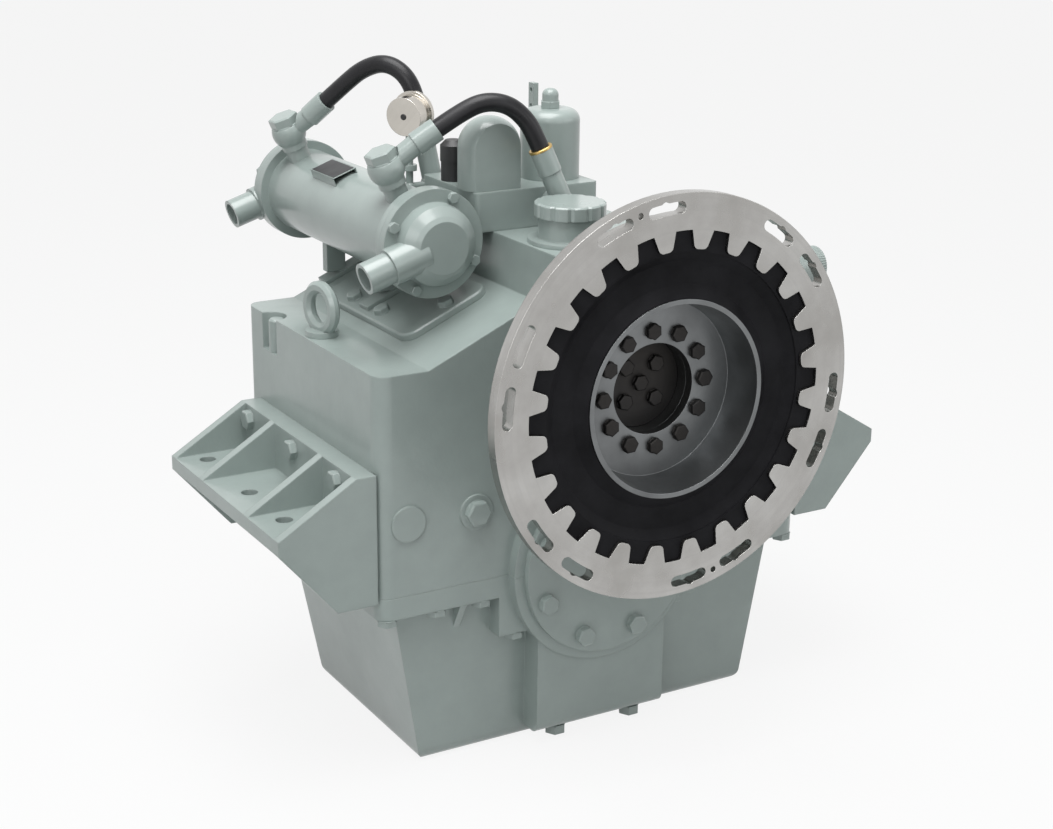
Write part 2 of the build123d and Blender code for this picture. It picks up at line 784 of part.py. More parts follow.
with BuildPart() as upper_case:
    with BuildSketch(across(CASE_FRONT)):
        with BuildLine():
            Polyline(*roof_outline(0), close=True)
        make_face()
    extrude(amount=CASE_DEPTH, dir=REAR)
    case_corners = upper_case.edges().filter_by(Axis.Z).filter_by(
        lambda edge: abs(edge.center().X) > SHOULDER_X
    )
    fillet(case_corners, radius=CASE_CORNER)
    # Snout round the input shaft, as wide as the plateau
    with BuildSketch(across(SNOUT_FRONT)):
        Circle(SNOUT_RADIUS)
        with Locations((0, PLATEAU_Z / 2)):
            Rectangle(2 * PLATEAU_X, PLATEAU_Z)
    extrude(amount=CASE_FRONT - SNOUT_FRONT, dir=REAR)
    # Strainer housing along X
    with BuildSketch(Plane(origin=(STRAINER_START, STRAINER_Y, STRAINER_Z), x_dir=(0, 1, 0), z_dir=(1, 0, 0))):
        Circle(STRAINER_RADIUS)
    extrude(amount=STRAINER_END - STRAINER_START)
    with BuildSketch(Plane(origin=(PLATEAU_X - 1, STRAINER_Y, STRAINER_Z), x_dir=(0, 1, 0), z_dir=(1, 0, 0))):
        Circle(STRAINER_RADIUS)
    extrude(amount=STRAINER_START - PLATEAU_X + 2)
    # Flat round faces on the front
    with BuildSketch(across(CASE_FRONT)):
        with Locations(FACE_BOSS, FACE_PLUG):
            Circle(FACE_BOSS_RADIUS)
    extrude(amount=FACE_BOSS_HEIGHT, dir=FRONT)
    # Inside
    with BuildSketch(across(inside_front)):
        with BuildLine():
            Polyline(*roof_outline(WALL), close=True)
        make_face()
    extrude(amount=inside_back - inside_front, dir=REAR, mode=Mode.SUBTRACT)
    add(output_bosses.part)
    # Bosses for the input and reverse bearings
    with BuildSketch(across(inside_front - 1)):
        Circle(SNOUT_RADIUS)
        with Locations(reverse_axis):
            Circle(REVERSE_BEARING_RADIUS + BOSS_WALL)
    extrude(amount=REVERSE_FRONT_WIDTH, dir=REAR)
    with BuildSketch(across(REAR_BEARING_Y - BOSS_WALL)):
        Circle(BEARING_RADIUS + BOSS_WALL)
        with Locations(reverse_axis):
            Circle(BEARING_RADIUS + BOSS_WALL)
    extrude(amount=case_back - REAR_BEARING_Y + BOSS_WALL, dir=REAR)
    # Wall round the corner pocket
    with BuildSketch(level(POCKET_FLOOR_Z - WALL, -case_half, POCKET_Y)):
        Circle(POCKET_RADIUS + WALL)
        with Locations((case_half / 2, 0)):
            Rectangle(case_half, 4 * POCKET_RADIUS + 4 * WALL, mode=Mode.INTERSECT)
    extrude(amount=ROOF_EDGE_Z - POCKET_FLOOR_Z + WALL)
    with BuildSketch(level(POCKET_FLOOR_Z, -case_half, POCKET_Y)):
        Circle(POCKET_RADIUS)
    extrude(amount=2 * PLATEAU_Z, mode=Mode.SUBTRACT)
    # Bores
    with BuildSketch(across(SNOUT_FRONT)):
        Circle(input_bore)
    extrude(amount=inside_front + REVERSE_FRONT_WIDTH - SNOUT_FRONT, dir=REAR, mode=Mode.SUBTRACT)
    with BuildSketch(across(inside_front - 1)):
        with Locations(reverse_axis):
            Circle(REVERSE_BEARING_RADIUS)
    extrude(amount=REVERSE_FRONT_WIDTH + 1, dir=REAR, mode=Mode.SUBTRACT)
    with BuildSketch(across(REAR_BEARING_Y - BOSS_WALL)):
        Circle(rear_bore)
        with Locations(reverse_axis):
            Circle(rear_bore)
    extrude(amount=CASE_DEPTH, dir=REAR, mode=Mode.SUBTRACT)
    add(output_bores.part, mode=Mode.SUBTRACT)
    with BuildSketch(level(PLATEAU_Z, FILLER_X, FILLER_Y)):
        Circle(FILLER_CASE_HOLE)
    extrude(amount=FILLER_HOLE_DEPTH, dir=DOWN, mode=Mode.SUBTRACT)
    with BuildSketch(slope_middle):
        Rectangle(COVER_WIDTH - 2 * OPENING_MARGIN, COVER_LENGTH - 2 * OPENING_MARGIN)
    extrude(amount=3 * WALL, both=True, mode=Mode.SUBTRACT)
    with BuildSketch(Plane(origin=(STRAINER_START, STRAINER_Y, STRAINER_Z), x_dir=(0, 1, 0), z_dir=(1, 0, 0))):
        Circle(STRAINER_BORE)
    extrude(amount=STRAINER_END - STRAINER_START, mode=Mode.SUBTRACT)
    split(bisect_by=Plane.XY.offset(split_z), keep=Keep.TOP)
upper_case.part.label = "upper_case"
export_step(upper_case.part, "parts/upper_case.step")

# Lower case: split flange, leaning sump walls, column, lugs and gussets
LUG_INNER = 101
LUG_OUTER = 156
LUG_BOTTOM_Z = -350
LUG_BACK = 205
GUSSET_X = 206
GUSSET_BOTTOM_Z = -340
GUSSET_THICK = 10
COLUMN_FRONT = 160
SUMP_CORNER = 18


def sump_section(z, inset):
    """Half width, front and back of the sump at height z, set in by a wall."""
    share = (flange_z - z) / (flange_z - SUMP_FLOOR_Z)
    half = SUMP_TOP_HALF + (SUMP_BOTTOM_HALF - SUMP_TOP_HALF) * share - inset
    return half, SUMP_FRONT + SUMP_LEAN_FRONT * share + inset, SUMP_BACK - SUMP_LEAN_BACK * share - inset


with BuildPart() as sump_room:
    for height, section_height in ((SUMP_FLOOR_Z + WALL, SUMP_FLOOR_Z), (split_z + 1, flange_z)):
        half, front, back = sump_section(section_height, WALL)
        with BuildSketch(level(height, 0, (front + back) / 2)):
            Rectangle(2 * half, back - front)
    loft()

with BuildPart() as lower_case:
    for height in (SUMP_FLOOR_Z, flange_z):
        half, front, back = sump_section(height, 0)
        with BuildSketch(level(height, 0, (front + back) / 2)):
            Rectangle(2 * half, back - front)
    loft()
    fillet(lower_case.faces().sort_by(Axis.Z)[0].edges(), radius=SUMP_CORNER)
    with BuildSketch(level(flange_z, 0, CASE_FRONT + CASE_DEPTH / 2)):
        RectangleRounded(2 * case_half, CASE_DEPTH, CASE_CORNER)
    extrude(amount=FLANGE_THICK)
    # Column in front, with lugs and gussets under the flange
    with BuildSketch(level(COLUMN_FLOOR_Z, 0, (COLUMN_FRONT + LUG_BACK) / 2)):
        Rectangle(2 * COLUMN_HALF, LUG_BACK - COLUMN_FRONT)
    extrude(amount=split_z - COLUMN_FLOOR_Z)
    fillet(lower_case.faces().sort_by(Axis.Y)[0].edges().sort_by(Axis.Z)[0], radius=14)
    with BuildSketch(level(LUG_BOTTOM_Z, 0, (CASE_FRONT + LUG_BACK) / 2)):
        Rectangle(2 * LUG_OUTER, LUG_BACK - CASE_FRONT)
    extrude(amount=flange_z - LUG_BOTTOM_Z)
    for side in (-1, 1):
        with BuildSketch(Plane.YZ.offset(side * GUSSET_X)):
            with BuildLine():
                Polyline(
                    (CASE_FRONT + 4, flange_z),
                    (SUMP_FRONT + 4, flange_z),
                    (SUMP_FRONT + 4, GUSSET_BOTTOM_Z),
                    close=True,
                )
            make_face()
        extrude(amount=GUSSET_THICK / 2, both=True)
    # Inside
    add(sump_room.part, mode=Mode.SUBTRACT)
    add(output_bosses.part)
    add(output_bores.part, mode=Mode.SUBTRACT)
    split(bisect_by=Plane.XY.offset(split_z), keep=Keep.BOTTOM)
lower_case.part.label = "lower_case"
export_step(lower_case.part, "parts/lower_case.step")

# Mounting brackets: back plate, shelf with base holes and four ribs
bracket_plate_x = case_half + BRACKET_PLATE_THICK
bracket_end = BRACKET_FRONT + BRACKET_LENGTH
BRACKET_FOOT_DEPTH = 28
with BuildPart() as right_bracket:
    with BuildSketch(across(BRACKET_FRONT)):
        with Locations(((case_half + bracket_plate_x) / 2, (BRACKET_TOP_Z + BRACKET_BOTTOM_Z) / 2)):
            Rectangle(BRACKET_PLATE_THICK, BRACKET_TOP_Z - BRACKET_BOTTOM_Z)
        with Locations(
            ((bracket_plate_x + BRACKET_REACH) / 2, BRACKET_SHELF_Z - BRACKET_SHELF_THICK / 2)
        ):
            Rectangle(BRACKET_REACH - bracket_plate_x, BRACKET_SHELF_THICK)
    extrude(amount=BRACKET_LENGTH, dir=REAR)
    # Triangular ribs from the back plate down to the outer edge of the shelf
    for rib_start in BRACKET_RIB_STARTS:
        with BuildSketch(across(BRACKET_FRONT + rib_start)):
            with BuildLine():
                Polyline(
                    (bracket_plate_x - 1, BRACKET_TOP_Z),
                    (bracket_plate_x, BRACKET_TOP_Z),
                    (BRACKET_REACH, BRACKET_SHELF_Z),
                    (BRACKET_REACH, BRACKET_SHELF_Z - 1),
                    (bracket_plate_x - 1, BRACKET_SHELF_Z - 1),
                    close=True,
                )
            make_face()
        extrude(amount=BRACKET_RIB, dir=REAR)
    # Webs under the shelf at both ends
    for web_start in (BRACKET_FRONT, bracket_end - BRACKET_RIB):
        with BuildSketch(across(web_start)):
            with BuildLine():
                Polyline(
                    (bracket_plate_x - 1, BRACKET_BOTTOM_Z),
                    (bracket_plate_x + BRACKET_FOOT_DEPTH, BRACKET_BOTTOM_Z),
                    (BRACKET_REACH, BRACKET_SHELF_Z - BRACKET_SHELF_THICK),
                    (bracket_plate_x - 1, BRACKET_SHELF_Z - BRACKET_SHELF_THICK),
                    close=True,
                )
            make_face()
        extrude(amount=BRACKET_RIB, dir=REAR)
    with BuildSketch(level(BRACKET_SHELF_Z)):
        with Locations(*[(BRACKET_HOLE_X, y) for y in BRACKET_HOLES_Y]):
            Circle(BRACKET_HOLE_RADIUS)
        with Locations(*[(BRACKET_HOLE_X, y) for y in BRACKET_JACKS_Y]):
            Circle(BRACKET_JACK_RADIUS)
    extrude(amount=BRACKET_SHELF_THICK, dir=DOWN, mode=Mode.SUBTRACT)
right_bracket.part.label = "right_bracket"
export_step(right_bracket.part, "parts/right_bracket.step")

with BuildPart() as left_bracket:
    mirror(right_bracket.part, about=Plane.YZ)
left_bracket.part.label = "left_bracket"
export_step(left_bracket.part, "parts/left_bracket.step")

# Screws of the brackets: three above the shelf and two below on each side
BRACKET_SCREWS = ((228, -115), (364, -115), (510, -115), (229, -219), (510, -219))
with BuildPart() as bracket_bolts:
    for side in (-1, 1):
        with BuildSketch(
            Plane(origin=(side * bracket_plate_x, 0, 0), x_dir=(0, side, 0), z_dir=(side, 0, 0))
        ):
            with Locations(*[(side * y, z) for y, z in BRACKET_SCREWS]):
                RegularPolygon(M16_FLATS / 2, 6, major_radius=False)
        extrude(amount=M16_HEAD)
bracket_bolts.part.label = "bracket_bolts"
export_step(bracket_bolts.part, "parts/bracket_bolts.step")

# Screws under the split flange and under the lugs
SPLIT_FRONT_X = (177, 243, 313)
SPLIT_FRONT_Y = 180.5
SPLIT_SIDE_Y = (270, 375, 480)
SPLIT_REAR_Y = 566
LUG_SCREW_X = 128
with BuildPart() as split_bolts:
    with BuildSketch(level(flange_z)):
        with Locations(*[(side * x, SPLIT_FRONT_Y) for side in (-1, 1) for x in SPLIT_FRONT_X]):
            RegularPolygon(M16_FLATS / 2, 6, major_radius=False)
        with Locations(*[(side * SPLIT_FRONT_X[2], y) for side in (-1, 1) for y in SPLIT_SIDE_Y]):
            RegularPolygon(M16_FLATS / 2, 6, major_radius=False)
        with Locations(*[(side * x, SPLIT_REAR_Y) for side in (-1, 1) for x in SPLIT_FRONT_X]):
            RegularPolygon(M16_FLATS / 2, 6, major_radius=False)
    extrude(amount=M16_HEAD, dir=DOWN)
    with BuildSketch(level(LUG_BOTTOM_Z)):
        with Locations((-LUG_SCREW_X, SPLIT_FRONT_Y), (LUG_SCREW_X, SPLIT_FRONT_Y)):
            RegularPolygon(M16_FLATS / 2, 6, major_radius=False)
    extrude(amount=M16_HEAD, dir=DOWN)
split_bolts.part.label = "split_bolts"
export_step(split_bolts.part, "parts/split_bolts.step")

# Cover of the input bearing, with the seat of the shaft seal
INPUT_COVER_THICK = 12
INPUT_COVER_RADIUS = 98
SEAL_WIDTH = 9
SEAL_RADIUS = 84
cover_front = SNOUT_FRONT - INPUT_COVER_THICK
spigot_end = FRONT_BEARING_Y - 2
with BuildPart() as input_bearing_cover:
    add(
        turned(
            [
                (cover_front, SEAL_RADIUS),
                (cover_front + SEAL_WIDTH, SEAL_RADIUS),
                (cover_front + SEAL_WIDTH, SLEEVE_RADIUS + 1),
                (spigot_end, SLEEVE_RADIUS + 1),
                (spigot_end, input_bore - SEAT_GAP),
                (SNOUT_FRONT, input_bore - SEAT_GAP),
                (SNOUT_FRONT, INPUT_COVER_RADIUS),
                (cover_front, INPUT_COVER_RADIUS),
            ]
        )
    )
input_bearing_cover.part.label = "input_bearing_cover"
export_step(input_bearing_cover.part, "parts/input_bearing_cover.step")

# Cover in front of the output shaft
with BuildPart() as output_front_cover:
    with BuildSketch(across(OUTPUT_BOSS_FRONT, 0, split_z)):
        Circle(OUTPUT_COVER_RADIUS)
    extrude(amount=OUTPUT_COVER_THICK, dir=FRONT)
    with BuildSketch(across(OUTPUT_BOSS_FRONT, 0, split_z)):
        Circle(OUTPUT_FRONT_BEARING_RADIUS - SEAT_GAP)
    extrude(amount=OUTPUT_SHAFT_FRONT - 2 - OUTPUT_BOSS_FRONT, dir=REAR)
output_front_cover.part.label = "output_front_cover"
export_step(output_front_cover.part, "parts/output_front_cover.step")

# Rear housing of the output bearing
REAR_FLANGE_THICK = 14
HOUSING_SHOULDER = 80
housing_spigot_start = OUTPUT_REAR_BEARING_Y - 2
with BuildPart() as output_rear_housing:
    add(
        turned(
            [
                (housing_spigot_start, OUTPUT_REAR_BEARING_RADIUS),
                (OUTPUT_REAR_BEARING_END, OUTPUT_REAR_BEARING_RADIUS),
                (OUTPUT_REAR_BEARING_END, HOUSING_SHOULDER),
                (REAR_HOUSING_END - SEAL_WIDTH, HOUSING_SHOULDER),
                (REAR_HOUSING_END - SEAL_WIDTH, SEAL_RADIUS),
                (REAR_HOUSING_END, SEAL_RADIUS),
                (REAR_HOUSING_END, REAR_HOUSING_RADIUS),
                (case_back + REAR_FLANGE_THICK, REAR_HOUSING_RADIUS),
                (case_back + REAR_FLANGE_THICK, REAR_HOUSING_FLANGE),
                (case_back, REAR_HOUSING_FLANGE),
                (case_back, REAR_HOUSING_BORE - SEAT_GAP),
                (housing_spigot_start, REAR_HOUSING_BORE - SEAT_GAP),
            ],
            0,
            split_z,
        )
    )
output_rear_housing.part.label = "output_rear_housing"
export_step(output_rear_housing.part, "parts/output_rear_housing.step")

# Lip seals of the input sleeve and the propeller flange
with BuildPart() as shaft_seals:
    add(
        ring(
            cover_front + SEAT_GAP,
            cover_front + SEAL_WIDTH - SEAT_GAP,
            SLEEVE_RADIUS + RUNNING_GAP,
            SEAL_RADIUS - SEAT_GAP,
        )
    )
    add(
        ring(
            REAR_HOUSING_END - SEAL_WIDTH + SEAT_GAP,
            REAR_HOUSING_END - SEAT_GAP,
            FLANGE_HUB_RADIUS + RUNNING_GAP,
            SEAL_RADIUS - SEAT_GAP,
            0,
            split_z,
        )
    )
shaft_seals.part.label = "shaft_seals"
export_step(shaft_seals.part, "parts/shaft_seals.step")

# Shaft bearings, each as one ring
with BuildPart() as shaft_bearings:
    add(
        ring(
            FRONT_BEARING_Y,
            inside_front,
            SHAFT_RADIUS + RUNNING_GAP,
            INPUT_BEARING_RADIUS - SEAT_GAP,
        )
    )
    add(
        ring(
            REVERSE_SHAFT_FRONT,
            inside_front + REVERSE_FRONT_WIDTH - 4,
            JOURNAL_RADIUS + RUNNING_GAP,
            REVERSE_BEARING_RADIUS - SEAT_GAP,
            reverse_x,
            reverse_z,
        )
    )
    for x, z in (input_axis, reverse_axis):
        add(
            ring(
                REAR_BEARING_Y,
                rear_bearing_end,
                JOURNAL_RADIUS + RUNNING_GAP,
                BEARING_RADIUS,
                x,
                z,
            )
        )
    add(
        ring(
            OUTPUT_SHAFT_FRONT,
            FRONT_BEARING_END,
            OUTPUT_NOSE_RADIUS + RUNNING_GAP,
            OUTPUT_FRONT_BEARING_RADIUS - SEAT_GAP,
            0,
            split_z,
        )
    )
    add(
        ring(
            OUTPUT_REAR_BEARING_Y,
            OUTPUT_REAR_BEARING_END - SEAT_GAP,
            OUTPUT_JOURNAL_RADIUS + RUNNING_GAP,
            OUTPUT_REAR_BEARING_RADIUS - SEAT_GAP,
            0,
            split_z,
        )
    )
shaft_bearings.part.label = "shaft_bearings"
export_step(shaft_bearings.part, "parts/shaft_bearings.step")

# Oil pump behind the input shaft: body, cover and two gears
PUMP_TEETH = 13
PUMP_MODULE = 4
PUMP_RADIUS = 84
PUMP_LOBE_RADIUS = 62
PUMP_COVER_THICK = 20
PUMP_IDLER_STUB = 10
pump_pitch = PUMP_TEETH * PUMP_MODULE / 2
pump_tip = pump_pitch + PUMP_MODULE
idler_axis = (0, -2 * pump_pitch)
pump_body_end = pump_gear_end + RUNNING_GAP
pump_phase = -90
idler_phase = mate_phase(pump_phase, PUMP_TEETH, -90, PUMP_TEETH)
with BuildPart() as pump_body:
    with BuildSketch(across(case_back)) as pump_outline:
        Circle(PUMP_RADIUS)
        with Locations(idler_axis):
            Circle(PUMP_LOBE_RADIUS)
    extrude(amount=pump_body_end - case_back, dir=REAR)
    with BuildSketch(across(case_back)):
        Circle(PUMP_STUB_RADIUS + RUNNING_GAP)
    extrude(amount=PUMP_PLATE, dir=REAR, mode=Mode.SUBTRACT)
    with BuildSketch(across(case_back + PUMP_PLATE - 8)):
        with Locations(idler_axis):
            Circle(PUMP_IDLER_STUB + RUNNING_GAP)
    extrude(amount=8, dir=REAR, mode=Mode.SUBTRACT)
    with BuildSketch(across(case_back + PUMP_PLATE)):
        Circle(pump_tip + RUNNING_GAP)
        with Locations(idler_axis):
            Circle(pump_tip + RUNNING_GAP)
    extrude(amount=pump_body_end - case_back - PUMP_PLATE, dir=REAR, mode=Mode.SUBTRACT)
with BuildPart() as pump_cover:
    with BuildSketch(across(pump_body_end)):
        Circle(PUMP_RADIUS)
        with Locations(idler_axis):
            Circle(PUMP_LOBE_RADIUS)
    extrude(amount=PUMP_COVER_THICK, dir=REAR)
    with BuildSketch(across(pump_body_end)):
        Circle(PUMP_STUB_RADIUS + RUNNING_GAP)
        with Locations(idler_axis):
            Circle(PUMP_IDLER_STUB + RUNNING_GAP)
    extrude(amount=8, dir=REAR, mode=Mode.SUBTRACT)
pump_housing = Compound(children=[pump_body.part, pump_cover.part])
pump_housing.label = "pump_body"
export_step(pump_housing, "parts/pump_body.step")

with BuildPart() as pump_drive_gear:
    add(
        toothed_rim(
            pump_gear_start,
            PUMP_GEAR_WIDTH,
            PUMP_STUB_RADIUS + SEAT_GAP,
            PUMP_TEETH,
            PUMP_MODULE,
            pump_phase,
            1,
        )
    )
pump_drive_gear.part.label = "pump_drive_gear"
export_step(pump_drive_gear.part, "parts/pump_drive_gear.step")

with BuildPart() as pump_idler_gear:
    with BuildSketch(across(pump_gear_start, *idler_axis)):
        with BuildLine():
            Polyline(*gear_outline(PUMP_TEETH, PUMP_MODULE, idler_phase, 1), close=True)
        make_face()
    extrude(amount=PUMP_GEAR_WIDTH, dir=REAR)
    with BuildSketch(across(pump_gear_start - 6, *idler_axis)):
        Circle(PUMP_IDLER_STUB)
    extrude(amount=PUMP_GEAR_WIDTH + 12, dir=REAR)
pump_idler_gear.part.label = "pump_idler_gear"
export_step(pump_idler_gear.part, "parts/pump_idler_gear.step")

# Cover behind the reverse shaft
with BuildPart() as reverse_cover:
    add(
        turned(
            [
                (rear_bearing_end + 1, 0),
                (rear_bearing_end + 1, BEARING_RADIUS),
                (case_back, BEARING_RADIUS),
                (case_back, REVERSE_COVER_RADIUS),
                (case_back + OUTPUT_COVER_THICK, REVERSE_COVER_RADIUS),
                (case_back + OUTPUT_COVER_THICK, 0),
            ],
            reverse_x,
            reverse_z,
        )
    )
reverse_cover.part.label = "reverse_cover"
export_step(reverse_cover.part, "parts/reverse_cover.step")

# Inspection cover on the left slope
with BuildPart() as inspection_cover:
    with BuildSketch(slope_middle):
        RectangleRounded(COVER_WIDTH, COVER_LENGTH, COVER_CORNER)
    extrude(amount=COVER_THICK)
    chamfer(inspection_cover.faces().sort_by(Axis(slope_middle.origin, slope_middle.z_dir))[-1].edges(), length=2)
inspection_cover.part.label = "inspection_cover"
export_step(inspection_cover.part, "parts/inspection_cover.step")

# Screws of the covers, and the plugs in the front face and the sump
REVERSE_SCREW_CIRCLE = 78
REAR_SCREW_CIRCLE = 131
COVER_SCREWS = ((-46, -26), (-46, 57), (10, -108), (10, 112), (52, -43), (52, 57))
DRAIN_X = 60
DRAIN_Y = 181
cover_top = slope_middle.offset(COVER_THICK)
with BuildPart() as cover_bolts:
    with BuildSketch(across(OUTPUT_BOSS_FRONT - OUTPUT_COVER_THICK, 0, split_z)):
        with PolarLocations(OUTPUT_COVER_BOLT_CIRCLE, OUTPUT_COVER_BOLTS, start_angle=22.5):
            RegularPolygon(M16_FLATS / 2, 6, major_radius=False)
    extrude(amount=M16_HEAD, dir=FRONT)
    with BuildSketch(across(case_back + REAR_FLANGE_THICK, 0, split_z)):
        with PolarLocations(REAR_SCREW_CIRCLE, OUTPUT_COVER_BOLTS, start_angle=22.5):
            RegularPolygon(M12_FLATS / 2, 6, major_radius=False)
    extrude(amount=M12_HEAD, dir=REAR)
    with BuildSketch(across(case_back + OUTPUT_COVER_THICK, *reverse_axis)):
        with PolarLocations(REVERSE_SCREW_CIRCLE, 6, start_angle=30):
            RegularPolygon(M12_FLATS / 2, 6, major_radius=False)
    extrude(amount=M12_HEAD, dir=REAR)
    with BuildSketch(cover_top):
        with Locations(*COVER_SCREWS):
            RegularPolygon(M12_FLATS / 2, 6, major_radius=False)
    extrude(amount=M12_HEAD)
    with BuildSketch(across(CASE_FRONT - FACE_BOSS_HEIGHT)):
        with Locations(FACE_PLUG):
            RegularPolygon(M16_FLATS / 2 + 3, 6, major_radius=False)
    extrude(amount=M16_HEAD, dir=FRONT)
    with BuildSketch(level(COLUMN_FLOOR_Z)):
        with Locations((-DRAIN_X, DRAIN_Y), (DRAIN_X, DRAIN_Y)):
            RegularPolygon(M16_FLATS / 2 + 1, 6, major_radius=False)
    extrude(amount=M16_HEAD + 4, dir=DOWN)
cover_bolts.part.label = "cover_bolts"
export_step(cover_bolts.part, "parts/cover_bolts.step")

# Lifting eye bolts on the flat roof edges
EYE_X = 305
EYE_Y = 380
EYE_TURN = 10
EYE_OUTER = 36
EYE_INNER = 20
EYE_THICK = 15
EYE_CHAMFER = 4.5
EYE_CENTRE_Z = 66.5
EYE_COLLAR_RADIUS = 22
EYE_COLLAR_HEIGHT = 8
with BuildPart() as lifting_eyes:
    for side in (-1, 1):
        eye_axis = Axis(
            (side * EYE_X, EYE_Y, EYE_CENTRE_Z),
            (cos(radians(EYE_TURN)), -side * sin(radians(EYE_TURN)), 0),
        )
        eye_section = Plane(
            origin=eye_axis.position, x_dir=UP, z_dir=Vector(*UP).cross(eye_axis.direction)
        )
        with BuildSketch(eye_section):
            with Locations(((EYE_INNER + EYE_OUTER) / 2, 0)):
                eye_bar = Rectangle(EYE_OUTER - EYE_INNER, EYE_THICK)
            chamfer(eye_bar.vertices(), length=EYE_CHAMFER)
        revolve(axis=eye_axis)
        with BuildSketch(level(ROOF_EDGE_Z, side * EYE_X, EYE_Y)):
            Circle(EYE_COLLAR_RADIUS)
        extrude(amount=EYE_COLLAR_HEIGHT)
lifting_eyes.part.label = "lifting_eyes"
export_step(lifting_eyes.part, "parts/lifting_eyes.step")

# Oil filler: neck, strainer basket and cap
NECK_FLANGE_RADIUS = 54
NECK_FLANGE_THICK = 6
NECK_RADIUS = 40
NECK_BORE = 27
NECK_TOP = 200
BASKET_RIM = 31
BASKET_RIM_THICK = 3
BASKET_RADIUS = 24
BASKET_WALL = 1.5
BASKET_FLOOR_Z = 118
CAP_RADIUS = 46
CAP_THICK = 18
CAP_PLUG_RADIUS = 28
CAP_PLUG_DEPTH = 5
CAP_NOTCHES = 12
CAP_NOTCH_RADIUS = 5
ledge_z = NECK_TOP - CAP_PLUG_DEPTH - BASKET_RIM_THICK - 1
with BuildPart() as filler_neck:
    add(
        upright(
            [
                (NECK_BORE, PLATEAU_Z),
                (NECK_FLANGE_RADIUS, PLATEAU_Z),
                (NECK_FLANGE_RADIUS, PLATEAU_Z + NECK_FLANGE_THICK),
                (NECK_RADIUS, PLATEAU_Z + NECK_FLANGE_THICK),
                (NECK_RADIUS, NECK_TOP),
                (BASKET_RIM + RUNNING_GAP, NECK_TOP),
                (BASKET_RIM + RUNNING_GAP, ledge_z),
                (NECK_BORE, ledge_z),
            ],
            FILLER_X,
            FILLER_Y,
        )
    )
filler_neck.part.label = "filler_neck"
export_step(filler_neck.part, "parts/filler_neck.step")

with BuildPart() as filler_basket:
    add(
        upright(
            [
                (0, BASKET_FLOOR_Z),
                (BASKET_RADIUS, BASKET_FLOOR_Z),
                (BASKET_RADIUS, ledge_z),
                (BASKET_RIM, ledge_z),
                (BASKET_RIM, ledge_z + BASKET_RIM_THICK),
                (BASKET_RADIUS - BASKET_WALL, ledge_z + BASKET_RIM_THICK),
                (BASKET_RADIUS - BASKET_WALL, BASKET_FLOOR_Z + BASKET_WALL),
                (0, BASKET_FLOOR_Z + BASKET_WALL),
            ],
            FILLER_X,
            FILLER_Y,
        )
    )
filler_basket.part.label = "filler_basket"
export_step(filler_basket.part, "parts/filler_basket.step")

with BuildPart() as filler_cap:
    with BuildSketch(level(NECK_TOP, FILLER_X, FILLER_Y)):
        Circle(CAP_RADIUS)
        with PolarLocations(CAP_RADIUS + CAP_NOTCH_RADIUS / 2, CAP_NOTCHES):
            RegularPolygon(CAP_NOTCH_RADIUS, 6, mode=Mode.SUBTRACT)
    extrude(amount=CAP_THICK)
    chamfer(filler_cap.faces().sort_by(Axis.Z)[-1].edges(), length=2)
    with BuildSketch(level(NECK_TOP, FILLER_X, FILLER_Y)):
        Circle(CAP_PLUG_RADIUS)
    extrude(amount=CAP_PLUG_DEPTH, dir=DOWN)
filler_cap.part.label = "filler_cap"
export_step(filler_cap.part, "parts/filler_cap.step")

# Control valve block on the plateau, with the bearing of the lever shaft behind it
BLOCK_LEFT = -127
BLOCK_RIGHT = 57
BLOCK_FRONT = 285
BLOCK_BACK = 435
BLOCK_TOP = 218
LEVER_Y = 465
LEVER_Z = 196
LEVER_BOSS_RADIUS = 22
LEVER_BOSS_LEFT = -40
SPOOL_RADIUS = 12
lever_axis_plane = Plane(origin=(0, LEVER_Y, LEVER_Z), x_dir=(0, 1, 0), z_dir=(1, 0, 0))
with BuildPart() as valve_block:
    with BuildSketch(
        level(PLATEAU_Z, (BLOCK_LEFT + BLOCK_RIGHT) / 2, (BLOCK_FRONT + BLOCK_BACK) / 2)
    ):
        Rectangle(BLOCK_RIGHT - BLOCK_LEFT, BLOCK_BACK - BLOCK_FRONT)
    extrude(amount=BLOCK_TOP - PLATEAU_Z)
    fillet(valve_block.edges().filter_by(Axis.Z), radius=6)
    with BuildSketch(lever_axis_plane.offset(LEVER_BOSS_LEFT)):
        Circle(LEVER_BOSS_RADIUS)
        with Locations((-LEVER_BOSS_RADIUS, 0)):
            Rectangle(2 * LEVER_BOSS_RADIUS, 2 * LEVER_BOSS_RADIUS)
    extrude(amount=BLOCK_RIGHT - LEVER_BOSS_LEFT)
    with BuildSketch(lever_axis_plane.offset(LEVER_BOSS_LEFT + 6)):
        Circle(SPOOL_RADIUS + RUNNING_GAP / 2)
    extrude(amount=BLOCK_RIGHT - LEVER_BOSS_LEFT, mode=Mode.SUBTRACT)
valve_block.part.label = "valve_block"
export_step(valve_block.part, "parts/valve_block.step")

# Capsule on the block, with a flat front
DOME_X = -92
DOME_Y = 315
DOME_RADIUS = 41.3
DOME_TOP = 312
DOME_FLAT_Y = 291
with BuildPart() as valve_dome:
    with BuildSketch(level(BLOCK_TOP, DOME_X, DOME_Y)):
        Circle(DOME_RADIUS)
    extrude(amount=DOME_TOP - DOME_RADIUS - BLOCK_TOP)
    with Locations((DOME_X, DOME_Y, DOME_TOP - DOME_RADIUS)):
        Sphere(DOME_RADIUS)
    split(bisect_by=Plane.XY.offset(BLOCK_TOP), keep=Keep.TOP)
    split(bisect_by=Plane.XZ.offset(-DOME_FLAT_Y), keep=Keep.BOTTOM)
valve_dome.part.label = "valve_dome"
export_step(valve_dome.part, "parts/valve_dome.step")

